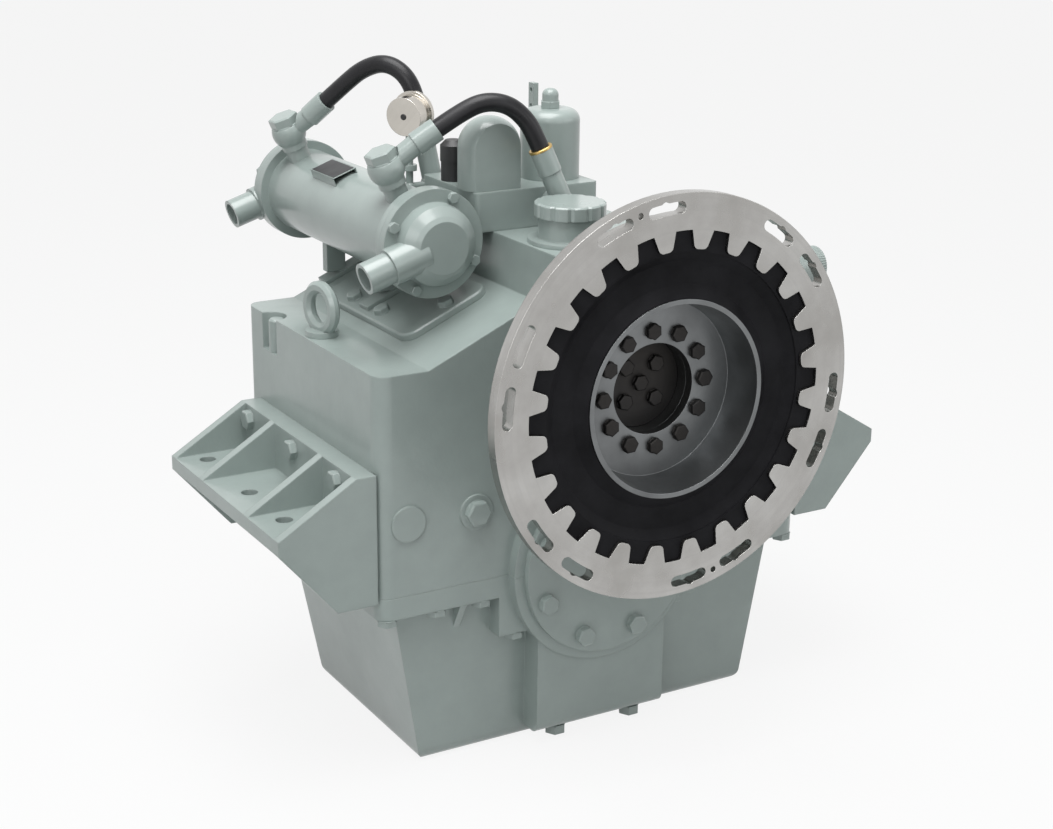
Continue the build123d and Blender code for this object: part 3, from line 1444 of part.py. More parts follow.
# Oil filter: canister, element and the acorn nut on its stud
CAN_X = 17.5
CAN_Y = 345
CAN_RADIUS = 40
CAN_TOP = 310
CAN_WALL = 4
CAN_SHOULDER = 16
ELEMENT_OUTER = 30
ELEMENT_INNER = 14
STUD_RADIUS = 6
NUT_FLATS = 24
NUT_HEX_HEIGHT = 9
NUT_TOP = 336
with BuildPart() as filter_canister:
    with BuildSketch(level(BLOCK_TOP, CAN_X, CAN_Y)):
        Circle(CAN_RADIUS)
    extrude(amount=CAN_TOP - BLOCK_TOP)
    fillet(filter_canister.faces().sort_by(Axis.Z)[-1].edges(), radius=CAN_SHOULDER)
    with BuildSketch(level(BLOCK_TOP, CAN_X, CAN_Y)):
        Circle(CAN_RADIUS - CAN_WALL)
    extrude(amount=CAN_TOP - CAN_WALL - CAN_SHOULDER - BLOCK_TOP, mode=Mode.SUBTRACT)
    with BuildSketch(level(BLOCK_TOP, CAN_X, CAN_Y)):
        Circle(STUD_RADIUS + RUNNING_GAP)
    extrude(amount=CAN_TOP - BLOCK_TOP, mode=Mode.SUBTRACT)
filter_canister.part.label = "filter_canister"
export_step(filter_canister.part, "parts/filter_canister.step")

with BuildPart() as filter_nut:
    with BuildSketch(level(CAN_TOP, CAN_X, CAN_Y)):
        RegularPolygon(NUT_FLATS / 2, 6, major_radius=False)
    extrude(amount=NUT_HEX_HEIGHT)
    with BuildSketch(level(CAN_TOP + NUT_HEX_HEIGHT, CAN_X, CAN_Y)):
        Circle(NUT_FLATS / 2 - 1)
    extrude(amount=NUT_TOP - CAN_TOP - NUT_HEX_HEIGHT)
    fillet(filter_nut.faces().sort_by(Axis.Z)[-1].edges(), radius=NUT_FLATS / 2 - 3)
    with BuildSketch(level(BLOCK_TOP, CAN_X, CAN_Y)):
        Circle(STUD_RADIUS)
    extrude(amount=CAN_TOP - BLOCK_TOP)
filter_nut.part.label = "filter_nut"
export_step(filter_nut.part, "parts/filter_nut.step")

with BuildPart() as filter_element:
    with BuildSketch(level(BLOCK_TOP + SEAT_GAP, CAN_X, CAN_Y)):
        Circle(ELEMENT_OUTER)
        Circle(ELEMENT_INNER, mode=Mode.SUBTRACT)
    extrude(amount=CAN_TOP - CAN_WALL - CAN_SHOULDER - BLOCK_TOP - 2 * SEAT_GAP)
filter_element.part.label = "filter_element"
export_step(filter_element.part, "parts/filter_element.step")

# Control lever on its spool, with a row of linkage holes
LEVER_TOP = 325
LEVER_WIDTH = 13
LEVER_THICK = 8
LEVER_HUB_RADIUS = 17
LEVER_HOLE_RADIUS = 3.3
LEVER_HOLE_PITCH = 22
lever_start = BLOCK_RIGHT + 1
with BuildPart() as control_lever:
    with BuildSketch(lever_axis_plane.offset(lever_start)):
        Circle(LEVER_HUB_RADIUS)
        with Locations((0, (LEVER_TOP - LEVER_Z) / 2)):
            Rectangle(LEVER_WIDTH, LEVER_TOP - LEVER_Z)
        with Locations(*[(0, LEVER_TOP - LEVER_Z - 10 - LEVER_HOLE_PITCH * i) for i in range(3)]):
            Circle(LEVER_HOLE_RADIUS, mode=Mode.SUBTRACT)
    extrude(amount=LEVER_THICK)
    with BuildSketch(lever_axis_plane.offset(LEVER_BOSS_LEFT + 8)):
        Circle(SPOOL_RADIUS)
    extrude(amount=lever_start - LEVER_BOSS_LEFT - 8)
control_lever.part.label = "control_lever"
export_step(control_lever.part, "parts/control_lever.step")

# Oil cooler beside the plateau: shell, caps with water ports, tube bundle
COOLER_X = -200
COOLER_Z = 164.2
COOLER_RADIUS = 58.5
COOLER_FLANGE_RADIUS = 70.5
COOLER_FLANGE_THICK = 12
COOLER_WALL = 6
COOLER_FRONT = 275.6
COOLER_BACK = 669
CAP_BODY_RADIUS = 54
CAP_DEPTH = 42
CAP_FACE_RADIUS = 34
PORT_RADIUS = 20.5
PORT_BORE = 15.5
PORT_REACH = 107
PORT_DROP = 17.5
PORT_SETBACK = 21
PORT_START = 20
PORT_ROOT_RADIUS = 24
PORT_ROOT_END = 71
UNION_TILT = 23
UNION_INSET = 43.5
UNION_DISTANCE = 98.6
UNION_BALL = 24
UNION_NECK = 15.5
UNION_COLLAR = 18
UNION_TOP = 110
UNION_NUT_FLATS = 36
UNION_NUT_HEIGHT = 14
UNION_SPOT_FACE = 23
HOSE_RADIUS = 12
FERRULE_RADIUS = 15.5
front_port_y = COOLER_FRONT - PORT_SETBACK
rear_port_y = COOLER_BACK + PORT_SETBACK
union_stations = (COOLER_FRONT + UNION_INSET, COOLER_BACK - UNION_INSET)
union_lean = (-sin(radians(UNION_TILT)), 0, cos(radians(UNION_TILT)))


def union_plane(y, distance):
    """Plane square to a union, at a distance from the cooler's axis."""
    return Plane(
        origin=(
            COOLER_X + distance * union_lean[0],
            y,
            COOLER_Z + distance * union_lean[2],
        ),
        x_dir=(0, 1, 0),
        z_dir=union_lean,
    )


shell_tube = turned(
    [
        (COOLER_FRONT, COOLER_RADIUS - COOLER_WALL),
        (COOLER_FRONT, COOLER_FLANGE_RADIUS),
        (COOLER_FRONT + COOLER_FLANGE_THICK, COOLER_FLANGE_RADIUS),
        (COOLER_FRONT + COOLER_FLANGE_THICK, COOLER_RADIUS),
        (COOLER_BACK - COOLER_FLANGE_THICK, COOLER_RADIUS),
        (COOLER_BACK - COOLER_FLANGE_THICK, COOLER_FLANGE_RADIUS),
        (COOLER_BACK, COOLER_FLANGE_RADIUS),
        (COOLER_BACK, COOLER_RADIUS - COOLER_WALL),
    ],
    COOLER_X,
    COOLER_Z,
)
with BuildPart() as cooler_shell:
    add(shell_tube)
    for station in union_stations:
        with BuildSketch(union_plane(station, COOLER_RADIUS - COOLER_WALL / 2)):
            Circle(UNION_NECK)
        extrude(amount=UNION_DISTANCE - UNION_BALL - COOLER_RADIUS + COOLER_WALL / 2)
cooler_shell.part.label = "cooler_shell"
export_step(cooler_shell.part, "parts/cooler_shell.step")

port_out = (-cos(radians(PORT_DROP)), 0, -sin(radians(PORT_DROP)))


def cooler_cap(flange_y, outward, port_y):
    """End cap: flange, body with a flat face, and the water port."""
    with BuildPart() as cap:
        add(
            turned(
                [
                    (flange_y, 0),
                    (flange_y, COOLER_FLANGE_RADIUS),
                    (flange_y + outward * COOLER_FLANGE_THICK, COOLER_FLANGE_RADIUS),
                    (flange_y + outward * COOLER_FLANGE_THICK, CAP_BODY_RADIUS),
                    (flange_y + outward * (CAP_DEPTH - 14), CAP_BODY_RADIUS - 3),
                    (flange_y + outward * (CAP_DEPTH - 4), CAP_FACE_RADIUS + 6),
                    (flange_y + outward * CAP_DEPTH, CAP_FACE_RADIUS),
                    (flange_y + outward * CAP_DEPTH, 0),
                ],
                COOLER_X,
                COOLER_Z,
            )
        )
        port_base = Plane(origin=(COOLER_X, port_y, COOLER_Z), x_dir=(0, 1, 0), z_dir=port_out)
        with BuildSketch(port_base.offset(PORT_START)):
            Circle(PORT_ROOT_RADIUS)
        extrude(amount=PORT_ROOT_END - PORT_START)
        # The port's root ends at the joint face
        with BuildSketch(across(flange_y, COOLER_X, COOLER_Z)):
            Circle(PORT_REACH)
        extrude(amount=PORT_ROOT_RADIUS, dir=(0, -outward, 0), mode=Mode.SUBTRACT)
        with BuildSketch(port_base.offset(PORT_START)):
            Circle(PORT_RADIUS)
        extrude(amount=PORT_REACH - PORT_START)
        with BuildSketch(port_base.offset(CAP_BODY_RADIUS - 6)):
            Circle(PORT_BORE)
        extrude(amount=PORT_REACH, mode=Mode.SUBTRACT)
    return cap.part


front_cap = cooler_cap(COOLER_FRONT, -1, front_port_y)
rear_cap = cooler_cap(COOLER_BACK, 1, rear_port_y)
cooler_caps = Compound(children=[front_cap, rear_cap])
cooler_caps.label = "cooler_caps"
export_step(cooler_caps, "parts/cooler_caps.step")

with BuildPart() as cooler_bundle:
    add(
        ring(
            COOLER_FRONT + SEAT_GAP,
            COOLER_BACK - SEAT_GAP,
            12,
            COOLER_RADIUS - COOLER_WALL - SEAT_GAP,
            COOLER_X,
            COOLER_Z,
        )
    )
cooler_bundle.part.label = "cooler_bundle"
export_step(cooler_bundle.part, "parts/cooler_bundle.step")

# Two strap feet carry the cooler, one on the inspection cover and one on the roof
MOUNT_FRONT_Y = 400
MOUNT_REAR_Y = 568
STRAP_WIDTH = 26
STRAP_THICK = 6
FRONT_STRAP_LENGTH = 112
REAR_STRAP_LENGTH = 84
LEG_WIDTH = 14
with BuildPart() as cooler_room:
    add(
        ring(COOLER_FRONT, COOLER_BACK, 0.5, COOLER_RADIUS + SEAT_GAP, COOLER_X, COOLER_Z)
    )
with BuildPart() as cooler_mounts:
    for mount_y, lift, strap_length in (
        (MOUNT_FRONT_Y, COVER_THICK, FRONT_STRAP_LENGTH),
        (MOUNT_REAR_Y, 0, REAR_STRAP_LENGTH),
    ):
        strap_plane = Plane(
            origin=slope_middle.origin
            + slope_middle.z_dir * lift
            + slope_middle.y_dir * (mount_y - COVER_Y),
            x_dir=slope_middle.x_dir,
            z_dir=slope_middle.z_dir,
        )
        with BuildSketch(strap_plane):
            Rectangle(strap_length, STRAP_WIDTH)
        extrude(amount=STRAP_THICK)
        with BuildSketch(
            level(COOLER_Z - COOLER_RADIUS / 2, COOLER_X, mount_y)
        ):
            Rectangle(2 * LEG_WIDTH, LEG_WIDTH)
        extrude(amount=COOLER_Z - COOLER_RADIUS / 2 - strap_plane.origin.Z, dir=DOWN)
    add(cooler_room.part, mode=Mode.SUBTRACT)
cooler_mounts.part.label = "cooler_mounts"
export_step(cooler_mounts.part, "parts/cooler_mounts.step")

# Hose routes, chosen by hand; each hose leaves its union in the vertical plane to its end
FRONT_HOSE = [
    (-175.9, 300.0, 302.8),
    (-147.6, 291.4, 322.5),
    (-117.9, 282.3, 336.5),
    (-87.3, 273.0, 332.0),
    (-64.4, 266.1, 311.0),
    (-52.9, 262.6, 288.0),
    (-46.2, 260.5, 271.8),
]
REAR_HOSE = [
    (-201.8, 579.4, 301.6),
    (-183.8, 556.7, 327.0),
    (-165.8, 533.9, 350.0),
    (-145.3, 508.1, 360.0),
    (-127.9, 486.1, 347.0),
    (-117.9, 473.6, 320.0),
    (-114.2, 468.9, 292.0),
]


def hose(points, name):
    """Tube along straight runs joined by arcs as large as the runs allow."""
    vectors = [Vector(*point) for point in points]
    radii = []
    for before, corner, after in zip(vectors, vectors[1:], vectors[2:]):
        turn = (corner - before).get_angle(after - corner)
        shorter = min((corner - before).length, (after - corner).length)
        radii.append(0.45 * shorter / tan(radians(turn / 2)))
    print(name, "bend radii", [round(radius) for radius in radii])
    with BuildPart() as tube:
        with BuildLine() as route:
            FilletPolyline(*vectors, radius=radii)
        with BuildSketch(Plane(origin=vectors[0], z_dir=vectors[1] - vectors[0])):
            Circle(HOSE_RADIUS)
        sweep()
    length = sum(edge.length for edge in route.edges())
    print(name, "volume over section times length", tube.part.volume / (pi * HOSE_RADIUS**2 * length))
    return tube


hose_front = hose(FRONT_HOSE, "hose_front")
hose_front.part.label = "hose_front"
export_step(hose_front.part, "parts/hose_front.step")

hose_rear = hose(REAR_HOSE, "hose_rear")
hose_rear.part.label = "hose_rear"
export_step(hose_rear.part, "parts/hose_rear.step")

# Banjo unions on the cooler, each with the ferrule that takes its hose
FERRULE_CLEAR = 0.1
SLEEVE_LENGTH = 34


def banjo(station, route):
    """Ball and collar on the cooler's neck, with an arm that runs to the hose."""
    collar_base = UNION_DISTANCE - UNION_BALL
    centre = union_plane(station, UNION_DISTANCE).origin
    hose_start = Vector(*route[0])
    along = (Vector(*route[1]) - hose_start).normalized()
    sleeve_base = hose_start - along * SLEEVE_LENGTH
    arm = sleeve_base + along - centre
    with BuildPart() as union:
        with BuildSketch(union_plane(station, collar_base)):
            Circle(UNION_COLLAR)
        extrude(amount=UNION_BALL / 2)
        with Locations(centre):
            Sphere(UNION_BALL)
        split(bisect_by=union_plane(station, collar_base), keep=Keep.TOP)
        with BuildSketch(Plane(origin=centre, z_dir=arm)):
            Circle(FERRULE_RADIUS - 2)
        extrude(amount=arm.length)
        with BuildSketch(Plane(origin=sleeve_base, z_dir=along)):
            Circle(FERRULE_RADIUS)
        extrude(amount=SLEEVE_LENGTH - FERRULE_CLEAR)
        # Spot face for the union nut
        with BuildSketch(union_plane(station, UNION_TOP)):
            Circle(UNION_SPOT_FACE)
        extrude(amount=UNION_NUT_HEIGHT, mode=Mode.SUBTRACT)
    return union.part


front_union = banjo(union_stations[0], FRONT_HOSE)
rear_union = banjo(union_stations[1], REAR_HOSE)
unions = Compound(children=[front_union, rear_union])
unions.label = "unions"
export_step(unions, "parts/unions.step")

# Screws of the cooler: union nuts, cap screws and strap screws
CAP_SCREW_CIRCLE = 63
CAP_SCREW_START = 65
with BuildPart() as cooler_bolts:
    for station in union_stations:
        with BuildSketch(union_plane(station, UNION_TOP)):
            RegularPolygon(UNION_NUT_FLATS / 2, 6, major_radius=False)
        extrude(amount=UNION_NUT_HEIGHT)
    for cap_y, direction in (
        (COOLER_FRONT - COOLER_FLANGE_THICK, FRONT),
        (COOLER_BACK + COOLER_FLANGE_THICK, REAR),
    ):
        with BuildSketch(across(cap_y, COOLER_X, COOLER_Z)):
            with PolarLocations(CAP_SCREW_CIRCLE, 4, start_angle=CAP_SCREW_START):
                RegularPolygon(M8_FLATS / 2, 6, major_radius=False)
        extrude(amount=M8_HEAD, dir=direction)
cooler_bolts.part.label = "cooler_bolts"
export_step(cooler_bolts.part, "parts/cooler_bolts.step")

# Elbows at the far ends of the hoses: one on the block's front, one on its back
ELBOW_Z = 200
ELBOW_LEG_RADIUS = 14
ELBOW_BODY_RADIUS = 17
ELBOW_SLEEVE = 32


def elbow_foot(route, height):
    """Lean of the hose's end and the point below it at a height."""
    end = Vector(*route[-1])
    lean = (Vector(*route[-2]) - end).normalized()
    return lean, end - lean * ((end.Z - height) / lean.Z)


def elbow(route, height, block_face):
    """Socket under the hose end, ball corner and leg to the block."""
    end = Vector(*route[-1])
    lean, foot = elbow_foot(route, height)
    with BuildPart() as socket:
        with BuildSketch(Plane(origin=foot, z_dir=lean)):
            Circle(ELBOW_LEG_RADIUS)
        extrude(amount=(end - foot).length - ELBOW_SLEEVE)
        with BuildSketch(Plane(origin=end - lean * ELBOW_SLEEVE, z_dir=lean)):
            Circle(FERRULE_RADIUS)
        extrude(amount=ELBOW_SLEEVE - FERRULE_CLEAR)
        with Locations(foot):
            Sphere(ELBOW_BODY_RADIUS)
        with BuildSketch(across(foot.Y, foot.X, foot.Z)):
            Circle(ELBOW_LEG_RADIUS)
        extrude(amount=block_face - foot.Y, dir=REAR)
    return socket.part


front_elbow = elbow(FRONT_HOSE, ELBOW_Z, BLOCK_FRONT)
rear_elbow = elbow(REAR_HOSE, ELBOW_Z, BLOCK_BACK)
hose_elbows = Compound(children=[front_elbow, rear_elbow])
hose_elbows.label = "hose_elbows"
export_step(hose_elbows, "parts/hose_elbows.step")

# Pressure gauge: case, needle, and the pipe that carries it
GAUGE_CENTRE = (-140, 449, 297)
GAUGE_FACING = (0.84, 0.545, 0.08)
GAUGE_BODY_RADIUS = 26
GAUGE_RIM_RADIUS = 30
GAUGE_HALF_DEPTH = 15
GAUGE_RIM_THICK = 6
GAUGE_RECESS = 8
NEEDLE_HUB_RADIUS = 3
NEEDLE_LENGTH = 19
NEEDLE_THICK = 1.5
GAUGE_PIPE_RADIUS = 5
GAUGE_DISC_RADIUS = 10
GAUGE_DISC_Z = 222
GAUGE_DISC_THICK = 8
gauge_middle = Plane(origin=GAUGE_CENTRE, z_dir=GAUGE_FACING)
with BuildPart() as gauge_case:
    with BuildSketch(gauge_middle.offset(-GAUGE_HALF_DEPTH)):
        Circle(GAUGE_BODY_RADIUS)
    extrude(amount=2 * GAUGE_HALF_DEPTH)
    with BuildSketch(gauge_middle.offset(GAUGE_HALF_DEPTH - GAUGE_RIM_THICK)):
        Circle(GAUGE_RIM_RADIUS)
    extrude(amount=GAUGE_RIM_THICK)
    with BuildSketch(gauge_middle.offset(GAUGE_HALF_DEPTH - GAUGE_RECESS)):
        Circle(GAUGE_BODY_RADIUS - 2)
    extrude(amount=GAUGE_RECESS, mode=Mode.SUBTRACT)
gauge_case.part.label = "gauge_case"
export_step(gauge_case.part, "parts/gauge_case.step")

needle_plane = gauge_middle.offset(GAUGE_HALF_DEPTH - GAUGE_RECESS + RUNNING_GAP)
with BuildPart() as gauge_needle:
    with BuildSketch(needle_plane):
        Circle(NEEDLE_HUB_RADIUS)
        with Locations((0, -NEEDLE_LENGTH / 2)):
            Rectangle(2, NEEDLE_LENGTH)
    extrude(amount=NEEDLE_THICK)
gauge_needle.part.label = "gauge_needle"
export_step(gauge_needle.part, "parts/gauge_needle.step")

gauge_x, gauge_y, gauge_z = GAUGE_CENTRE
rear_foot = elbow_foot(REAR_HOSE, ELBOW_Z)[1]
gauge_bottom = gauge_z - GAUGE_BODY_RADIUS + 1
with BuildPart() as gauge_room:
    with BuildSketch(gauge_middle.offset(-GAUGE_HALF_DEPTH - 1)):
        Circle(GAUGE_BODY_RADIUS + SEAT_GAP)
    extrude(amount=2 * GAUGE_HALF_DEPTH + 2)
with BuildPart() as gauge_pipe:
    with BuildSketch(level(ELBOW_Z, gauge_x, gauge_y)):
        Circle(GAUGE_PIPE_RADIUS)
    extrude(amount=gauge_bottom + 4 - ELBOW_Z)
    with BuildSketch(level(GAUGE_DISC_Z, gauge_x, gauge_y)):
        Circle(GAUGE_DISC_RADIUS)
    extrude(amount=GAUGE_DISC_THICK)
    with Locations((gauge_x, gauge_y, ELBOW_Z)):
        Sphere(GAUGE_PIPE_RADIUS + 2)
    with BuildSketch(Plane(origin=(gauge_x, gauge_y, ELBOW_Z), z_dir=(1, 0, 0))):
        Circle(GAUGE_PIPE_RADIUS)
    extrude(amount=rear_foot.X - ELBOW_BODY_RADIUS - SEAT_GAP - gauge_x)
    add(gauge_room.part, mode=Mode.SUBTRACT)
gauge_pipe.part.label = "gauge_pipe"
export_step(gauge_pipe.part, "parts/gauge_pipe.step")

# Pressure switch on the block, black body under a cast head
SWITCH_X = -110
SWITCH_Y = 381
SWITCH_RADIUS = 16
SWITCH_TOP = 244
SWITCH_HEAD_TOP = 272
SWITCH_HEAD_RADIUS = 17
with BuildPart() as pressure_switch:
    with BuildSketch(level(BLOCK_TOP, SWITCH_X, SWITCH_Y)):
        Circle(SWITCH_RADIUS)
    extrude(amount=SWITCH_TOP - BLOCK_TOP)
with BuildPart() as switch_head:
    with BuildSketch(level(SWITCH_TOP, SWITCH_X, SWITCH_Y)):
        Circle(SWITCH_HEAD_RADIUS)
    extrude(amount=SWITCH_HEAD_TOP - SWITCH_TOP)
    chamfer(switch_head.faces().sort_by(Axis.Z)[-1].edges(), length=7)
switch_pieces = Compound(children=[pressure_switch.part, switch_head.part])
switch_pieces.label = "pressure_switch"
export_step(switch_pieces, "parts/pressure_switch.step")

# Strainer at the right: knurled cap and the element behind it
STRAINER_CAP_RADIUS = 27
STRAINER_CAP_THICK = 23
STRAINER_FLATS = 16
STRAINER_PLUG_RADIUS = 21.7
STRAINER_PLUG_DEPTH = 18
STRAINER_ELEMENT_RADIUS = 17
strainer_mouth = Plane(
    origin=(STRAINER_END, STRAINER_Y, STRAINER_Z), x_dir=(0, 1, 0), z_dir=(1, 0, 0)
)
with BuildPart() as strainer_cap:
    with BuildSketch(strainer_mouth.offset(RUNNING_GAP)):
        RegularPolygon(STRAINER_CAP_RADIUS, STRAINER_FLATS)
    extrude(amount=STRAINER_CAP_THICK)
strainer_cap.part.label = "strainer_cap"
export_step(strainer_cap.part, "parts/strainer_cap.step")

with BuildPart() as strainer_element:
    with BuildSketch(strainer_mouth):
        Circle(STRAINER_PLUG_RADIUS)
    extrude(amount=-STRAINER_PLUG_DEPTH)
    with BuildSketch(strainer_mouth.offset(-STRAINER_PLUG_DEPTH)):
        Circle(STRAINER_ELEMENT_RADIUS)
        Circle(STRAINER_ELEMENT_RADIUS - 5, mode=Mode.SUBTRACT)
    extrude(amount=-(STRAINER_END - STRAINER_START - STRAINER_PLUG_DEPTH - RUNNING_GAP))
strainer_element.part.label = "strainer_element"
export_step(strainer_element.part, "parts/strainer_element.step")

# Capped bolt that stands in the corner pocket
CORNER_BOLT_RADIUS = 11
CORNER_CAP_TOP = 26
with BuildPart() as corner_bolt:
    with BuildSketch(level(POCKET_FLOOR_Z, -case_half + POCKET_RADIUS - CORNER_BOLT_RADIUS - 2, POCKET_Y)):
        Circle(CORNER_BOLT_RADIUS)
    extrude(amount=CORNER_CAP_TOP - POCKET_FLOOR_Z)
    chamfer(corner_bolt.faces().sort_by(Axis.Z)[-1].edges(), length=2.5)
corner_bolt.part.label = "corner_bolt"
export_step(corner_bolt.part, "parts/corner_bolt.step")
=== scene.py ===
"""Marine gearbox for a studio picture: paint, metal, rubber, screws, hoses and trim."""

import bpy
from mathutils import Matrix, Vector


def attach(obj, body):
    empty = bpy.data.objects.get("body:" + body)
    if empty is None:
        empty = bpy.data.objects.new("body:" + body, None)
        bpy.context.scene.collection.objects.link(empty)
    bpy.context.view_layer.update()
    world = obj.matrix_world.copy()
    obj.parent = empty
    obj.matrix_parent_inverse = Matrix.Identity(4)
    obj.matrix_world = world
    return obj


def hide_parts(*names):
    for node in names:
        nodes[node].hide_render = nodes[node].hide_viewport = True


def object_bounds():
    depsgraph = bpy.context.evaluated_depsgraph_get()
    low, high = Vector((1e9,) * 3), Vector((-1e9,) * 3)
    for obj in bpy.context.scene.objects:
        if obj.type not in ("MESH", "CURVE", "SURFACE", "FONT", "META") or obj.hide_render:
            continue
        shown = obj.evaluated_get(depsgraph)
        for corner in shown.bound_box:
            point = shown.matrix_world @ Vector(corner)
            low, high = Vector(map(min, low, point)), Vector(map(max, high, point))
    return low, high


bl_info = {
    "name": "Marine Gearbox Dresser",
    "version": (1, 0, 0),
    "blender": (4, 5, 0),
    "location": "View3D > Sidebar > Gearbox",
    "description": "Finishes a marine gearbox and builds its screws, hoses, trim and studio",
    "category": "Object",
}

from math import cos, pi, radians, sin

import bmesh
import bpy
from bpy.props import FloatProperty, FloatVectorProperty, IntProperty, PointerProperty
from mathutils import Matrix, Vector
from mathutils.bvhtree import BVHTree

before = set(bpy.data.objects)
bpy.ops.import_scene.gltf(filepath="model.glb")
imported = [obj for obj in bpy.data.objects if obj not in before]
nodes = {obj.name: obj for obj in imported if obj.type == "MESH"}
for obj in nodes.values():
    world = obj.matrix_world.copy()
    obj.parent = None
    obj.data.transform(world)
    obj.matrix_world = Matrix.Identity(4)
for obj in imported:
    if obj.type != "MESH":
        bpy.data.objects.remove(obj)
cad_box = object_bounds()


# Sizes and colours that a user would change


class PaintSettings(bpy.types.PropertyGroup):
    """Enamel on the castings."""

    colour: FloatVectorProperty(
        name="Enamel", description="Grey-green gearbox enamel", subtype="COLOR", size=3,
        default=(0.305, 0.357, 0.341), min=0, max=1,
    )
    shade: FloatVectorProperty(
        name="Thin enamel", description="Enamel where it is thin or dusty", subtype="COLOR", size=3,
        default=(0.252, 0.300, 0.285), min=0, max=1,
    )
    grain: FloatProperty(
        name="Casting grain", description="Depth of the cast skin under the paint",
        subtype="DISTANCE", unit="LENGTH", default=0.0005, min=0, max=0.003,
    )
    edge: FloatProperty(
        name="Edge rounding", description="Soft edge that the paint leaves on a casting",
        subtype="DISTANCE", unit="LENGTH", default=0.003, min=0, max=0.02,
    )


class MetalSettings(bpy.types.PropertyGroup):
    """Bare metal of the coupling and the inner pieces."""

    ring: FloatVectorProperty(
        name="Ring aluminium", description="Turned aluminium of the coupling ring", subtype="COLOR",
        size=3, default=(0.50, 0.495, 0.48), min=0, max=1,
    )
    hub: FloatVectorProperty(
        name="Hub steel", description="Oiled steel of the hub", subtype="COLOR", size=3,
        default=(0.24, 0.25, 0.255), min=0, max=1,
    )
    turning: FloatProperty(
        name="Turning marks", description="Depth of the turning marks", subtype="DISTANCE",
        unit="LENGTH", default=0.00005, min=0, max=0.001,
    )


class ScrewSettings(bpy.types.PropertyGroup):
    """Heads of the screws."""

    chamfer: FloatProperty(
        name="Head chamfer", description="Share of the head's half width that its chamfer takes",
        default=0.14, min=0.0, max=0.4,
    )
    washer: FloatProperty(
        name="Washer", description="Thickness of the washer face under a head", subtype="DISTANCE",
        unit="LENGTH", default=0.0012, min=0, max=0.01,
    )


class HoseSettings(bpy.types.PropertyGroup):
    """Oil hoses of the cooler."""

    radius: FloatProperty(
        name="Hose radius", description="Outer radius of both hoses", subtype="DISTANCE",
        unit="LENGTH", default=0.012, min=0.004, max=0.03,
    )


class PlateSettings(bpy.types.PropertyGroup):
    """Bare plate on the cooler."""

    length: FloatProperty(
        name="Length", description="Along the cooler", subtype="DISTANCE", unit="LENGTH",
        default=0.073, min=0.02, max=0.3,
    )
    width: FloatProperty(
        name="Width", description="Across the cooler", subtype="DISTANCE", unit="LENGTH",
        default=0.036, min=0.01, max=0.06,
    )


class GaugeSettings(bpy.types.PropertyGroup):
    """Pressure gauge."""

    marks: IntProperty(
        name="Marks", description="How many marks stand on the dial", default=13, min=2, max=40,
    )


class StudioSettings(bpy.types.PropertyGroup):
    """Floor, lamps and camera."""

    floor: FloatVectorProperty(
        name="Floor", description="Pale floor", subtype="COLOR", size=3,
        default=(0.60, 0.61, 0.61), min=0, max=1,
    )
    key: FloatProperty(
        name="Key lamp", description="Power of the large lamp above", default=105, min=0,
    )
    fill: FloatProperty(
        name="Fill lamps", description="Power of the lamps beside", default=18, min=0,
    )
    sky: FloatProperty(
        name="Sky", description="Strength of the even light", default=0.34, min=0, max=2,
    )


# Node helpers


def new_material(name):
    """Material with a fresh Principled shader, its tree and the shader."""
    material = bpy.data.materials.new(name)
    material.use_nodes = True
    tree = material.node_tree
    tree.nodes.clear()
    shader = tree.nodes.new("ShaderNodeBsdfPrincipled")
    output = tree.nodes.new("ShaderNodeOutputMaterial")
    tree.links.new(shader.outputs["BSDF"], output.inputs["Surface"])
    return material, tree, shader


def node(tree, kind, **values):
    """Node of a kind, with properties and input values set by name."""
    made = tree.nodes.new(kind)
    for key, value in values.items():
        if hasattr(made, key):
            setattr(made, key, value)
        else:
            made.inputs[key.replace("_", " ").title()].default_value = value
    return made


def group(name, inputs, outputs):
    """Shared node group with named sockets; gives the tree and its two ends."""
    tree = bpy.data.node_groups.new(name, "ShaderNodeTree")
    for socket, kind, value in inputs:
        made = tree.interface.new_socket(socket, in_out="INPUT", socket_type=kind)
        if value is not None:
            made.default_value = value
    for socket, kind in outputs:
        tree.interface.new_socket(socket, in_out="OUTPUT", socket_type=kind)
    return tree, tree.nodes.new("NodeGroupInput"), tree.nodes.new("NodeGroupOutput")


def place(tree, shared, **values):
    """A shared group in a material's tree, with its own values."""
    made = tree.nodes.new("ShaderNodeGroup")
    made.node_tree = shared
    for key, value in values.items():
        made.inputs[key.replace("_", " ")].default_value = value
    return made


def mapped(tree, source, low, high, to_low, to_high):
    """A value moved from one range to another, held at its ends."""
    made = tree.nodes.new("ShaderNodeMapRange")
    made.inputs["From Min"].default_value = low
    made.inputs["From Max"].default_value = high
    made.inputs["To Min"].default_value = to_low
    made.inputs["To Max"].default_value = to_high
    tree.links.new(source, made.inputs["Value"])
    return made.outputs["Result"]


def uneven(tree, shader, mask, low, high):
    """Roughness that a mask moves between two values."""
    tree.links.new(mapped(tree, mask, 0, 1, low, high), shader.inputs["Roughness"])


def blended(tree, share, first, second):
    """Colour between two colours; each is a socket or a plain colour."""
    made = tree.nodes.new("ShaderNodeMix")
    made.data_type = "RGBA"
    tree.links.new(share, made.inputs["Factor"])
    for socket, value in (("A", first), ("B", second)):
        target = [i for i in made.inputs if i.name == socket and i.type == "RGBA"][0]
        if isinstance(value, bpy.types.NodeSocket):
            tree.links.new(value, target)
        else:
            target.default_value = (*value, 1)
    return [o for o in made.outputs if o.type == "RGBA"][0]


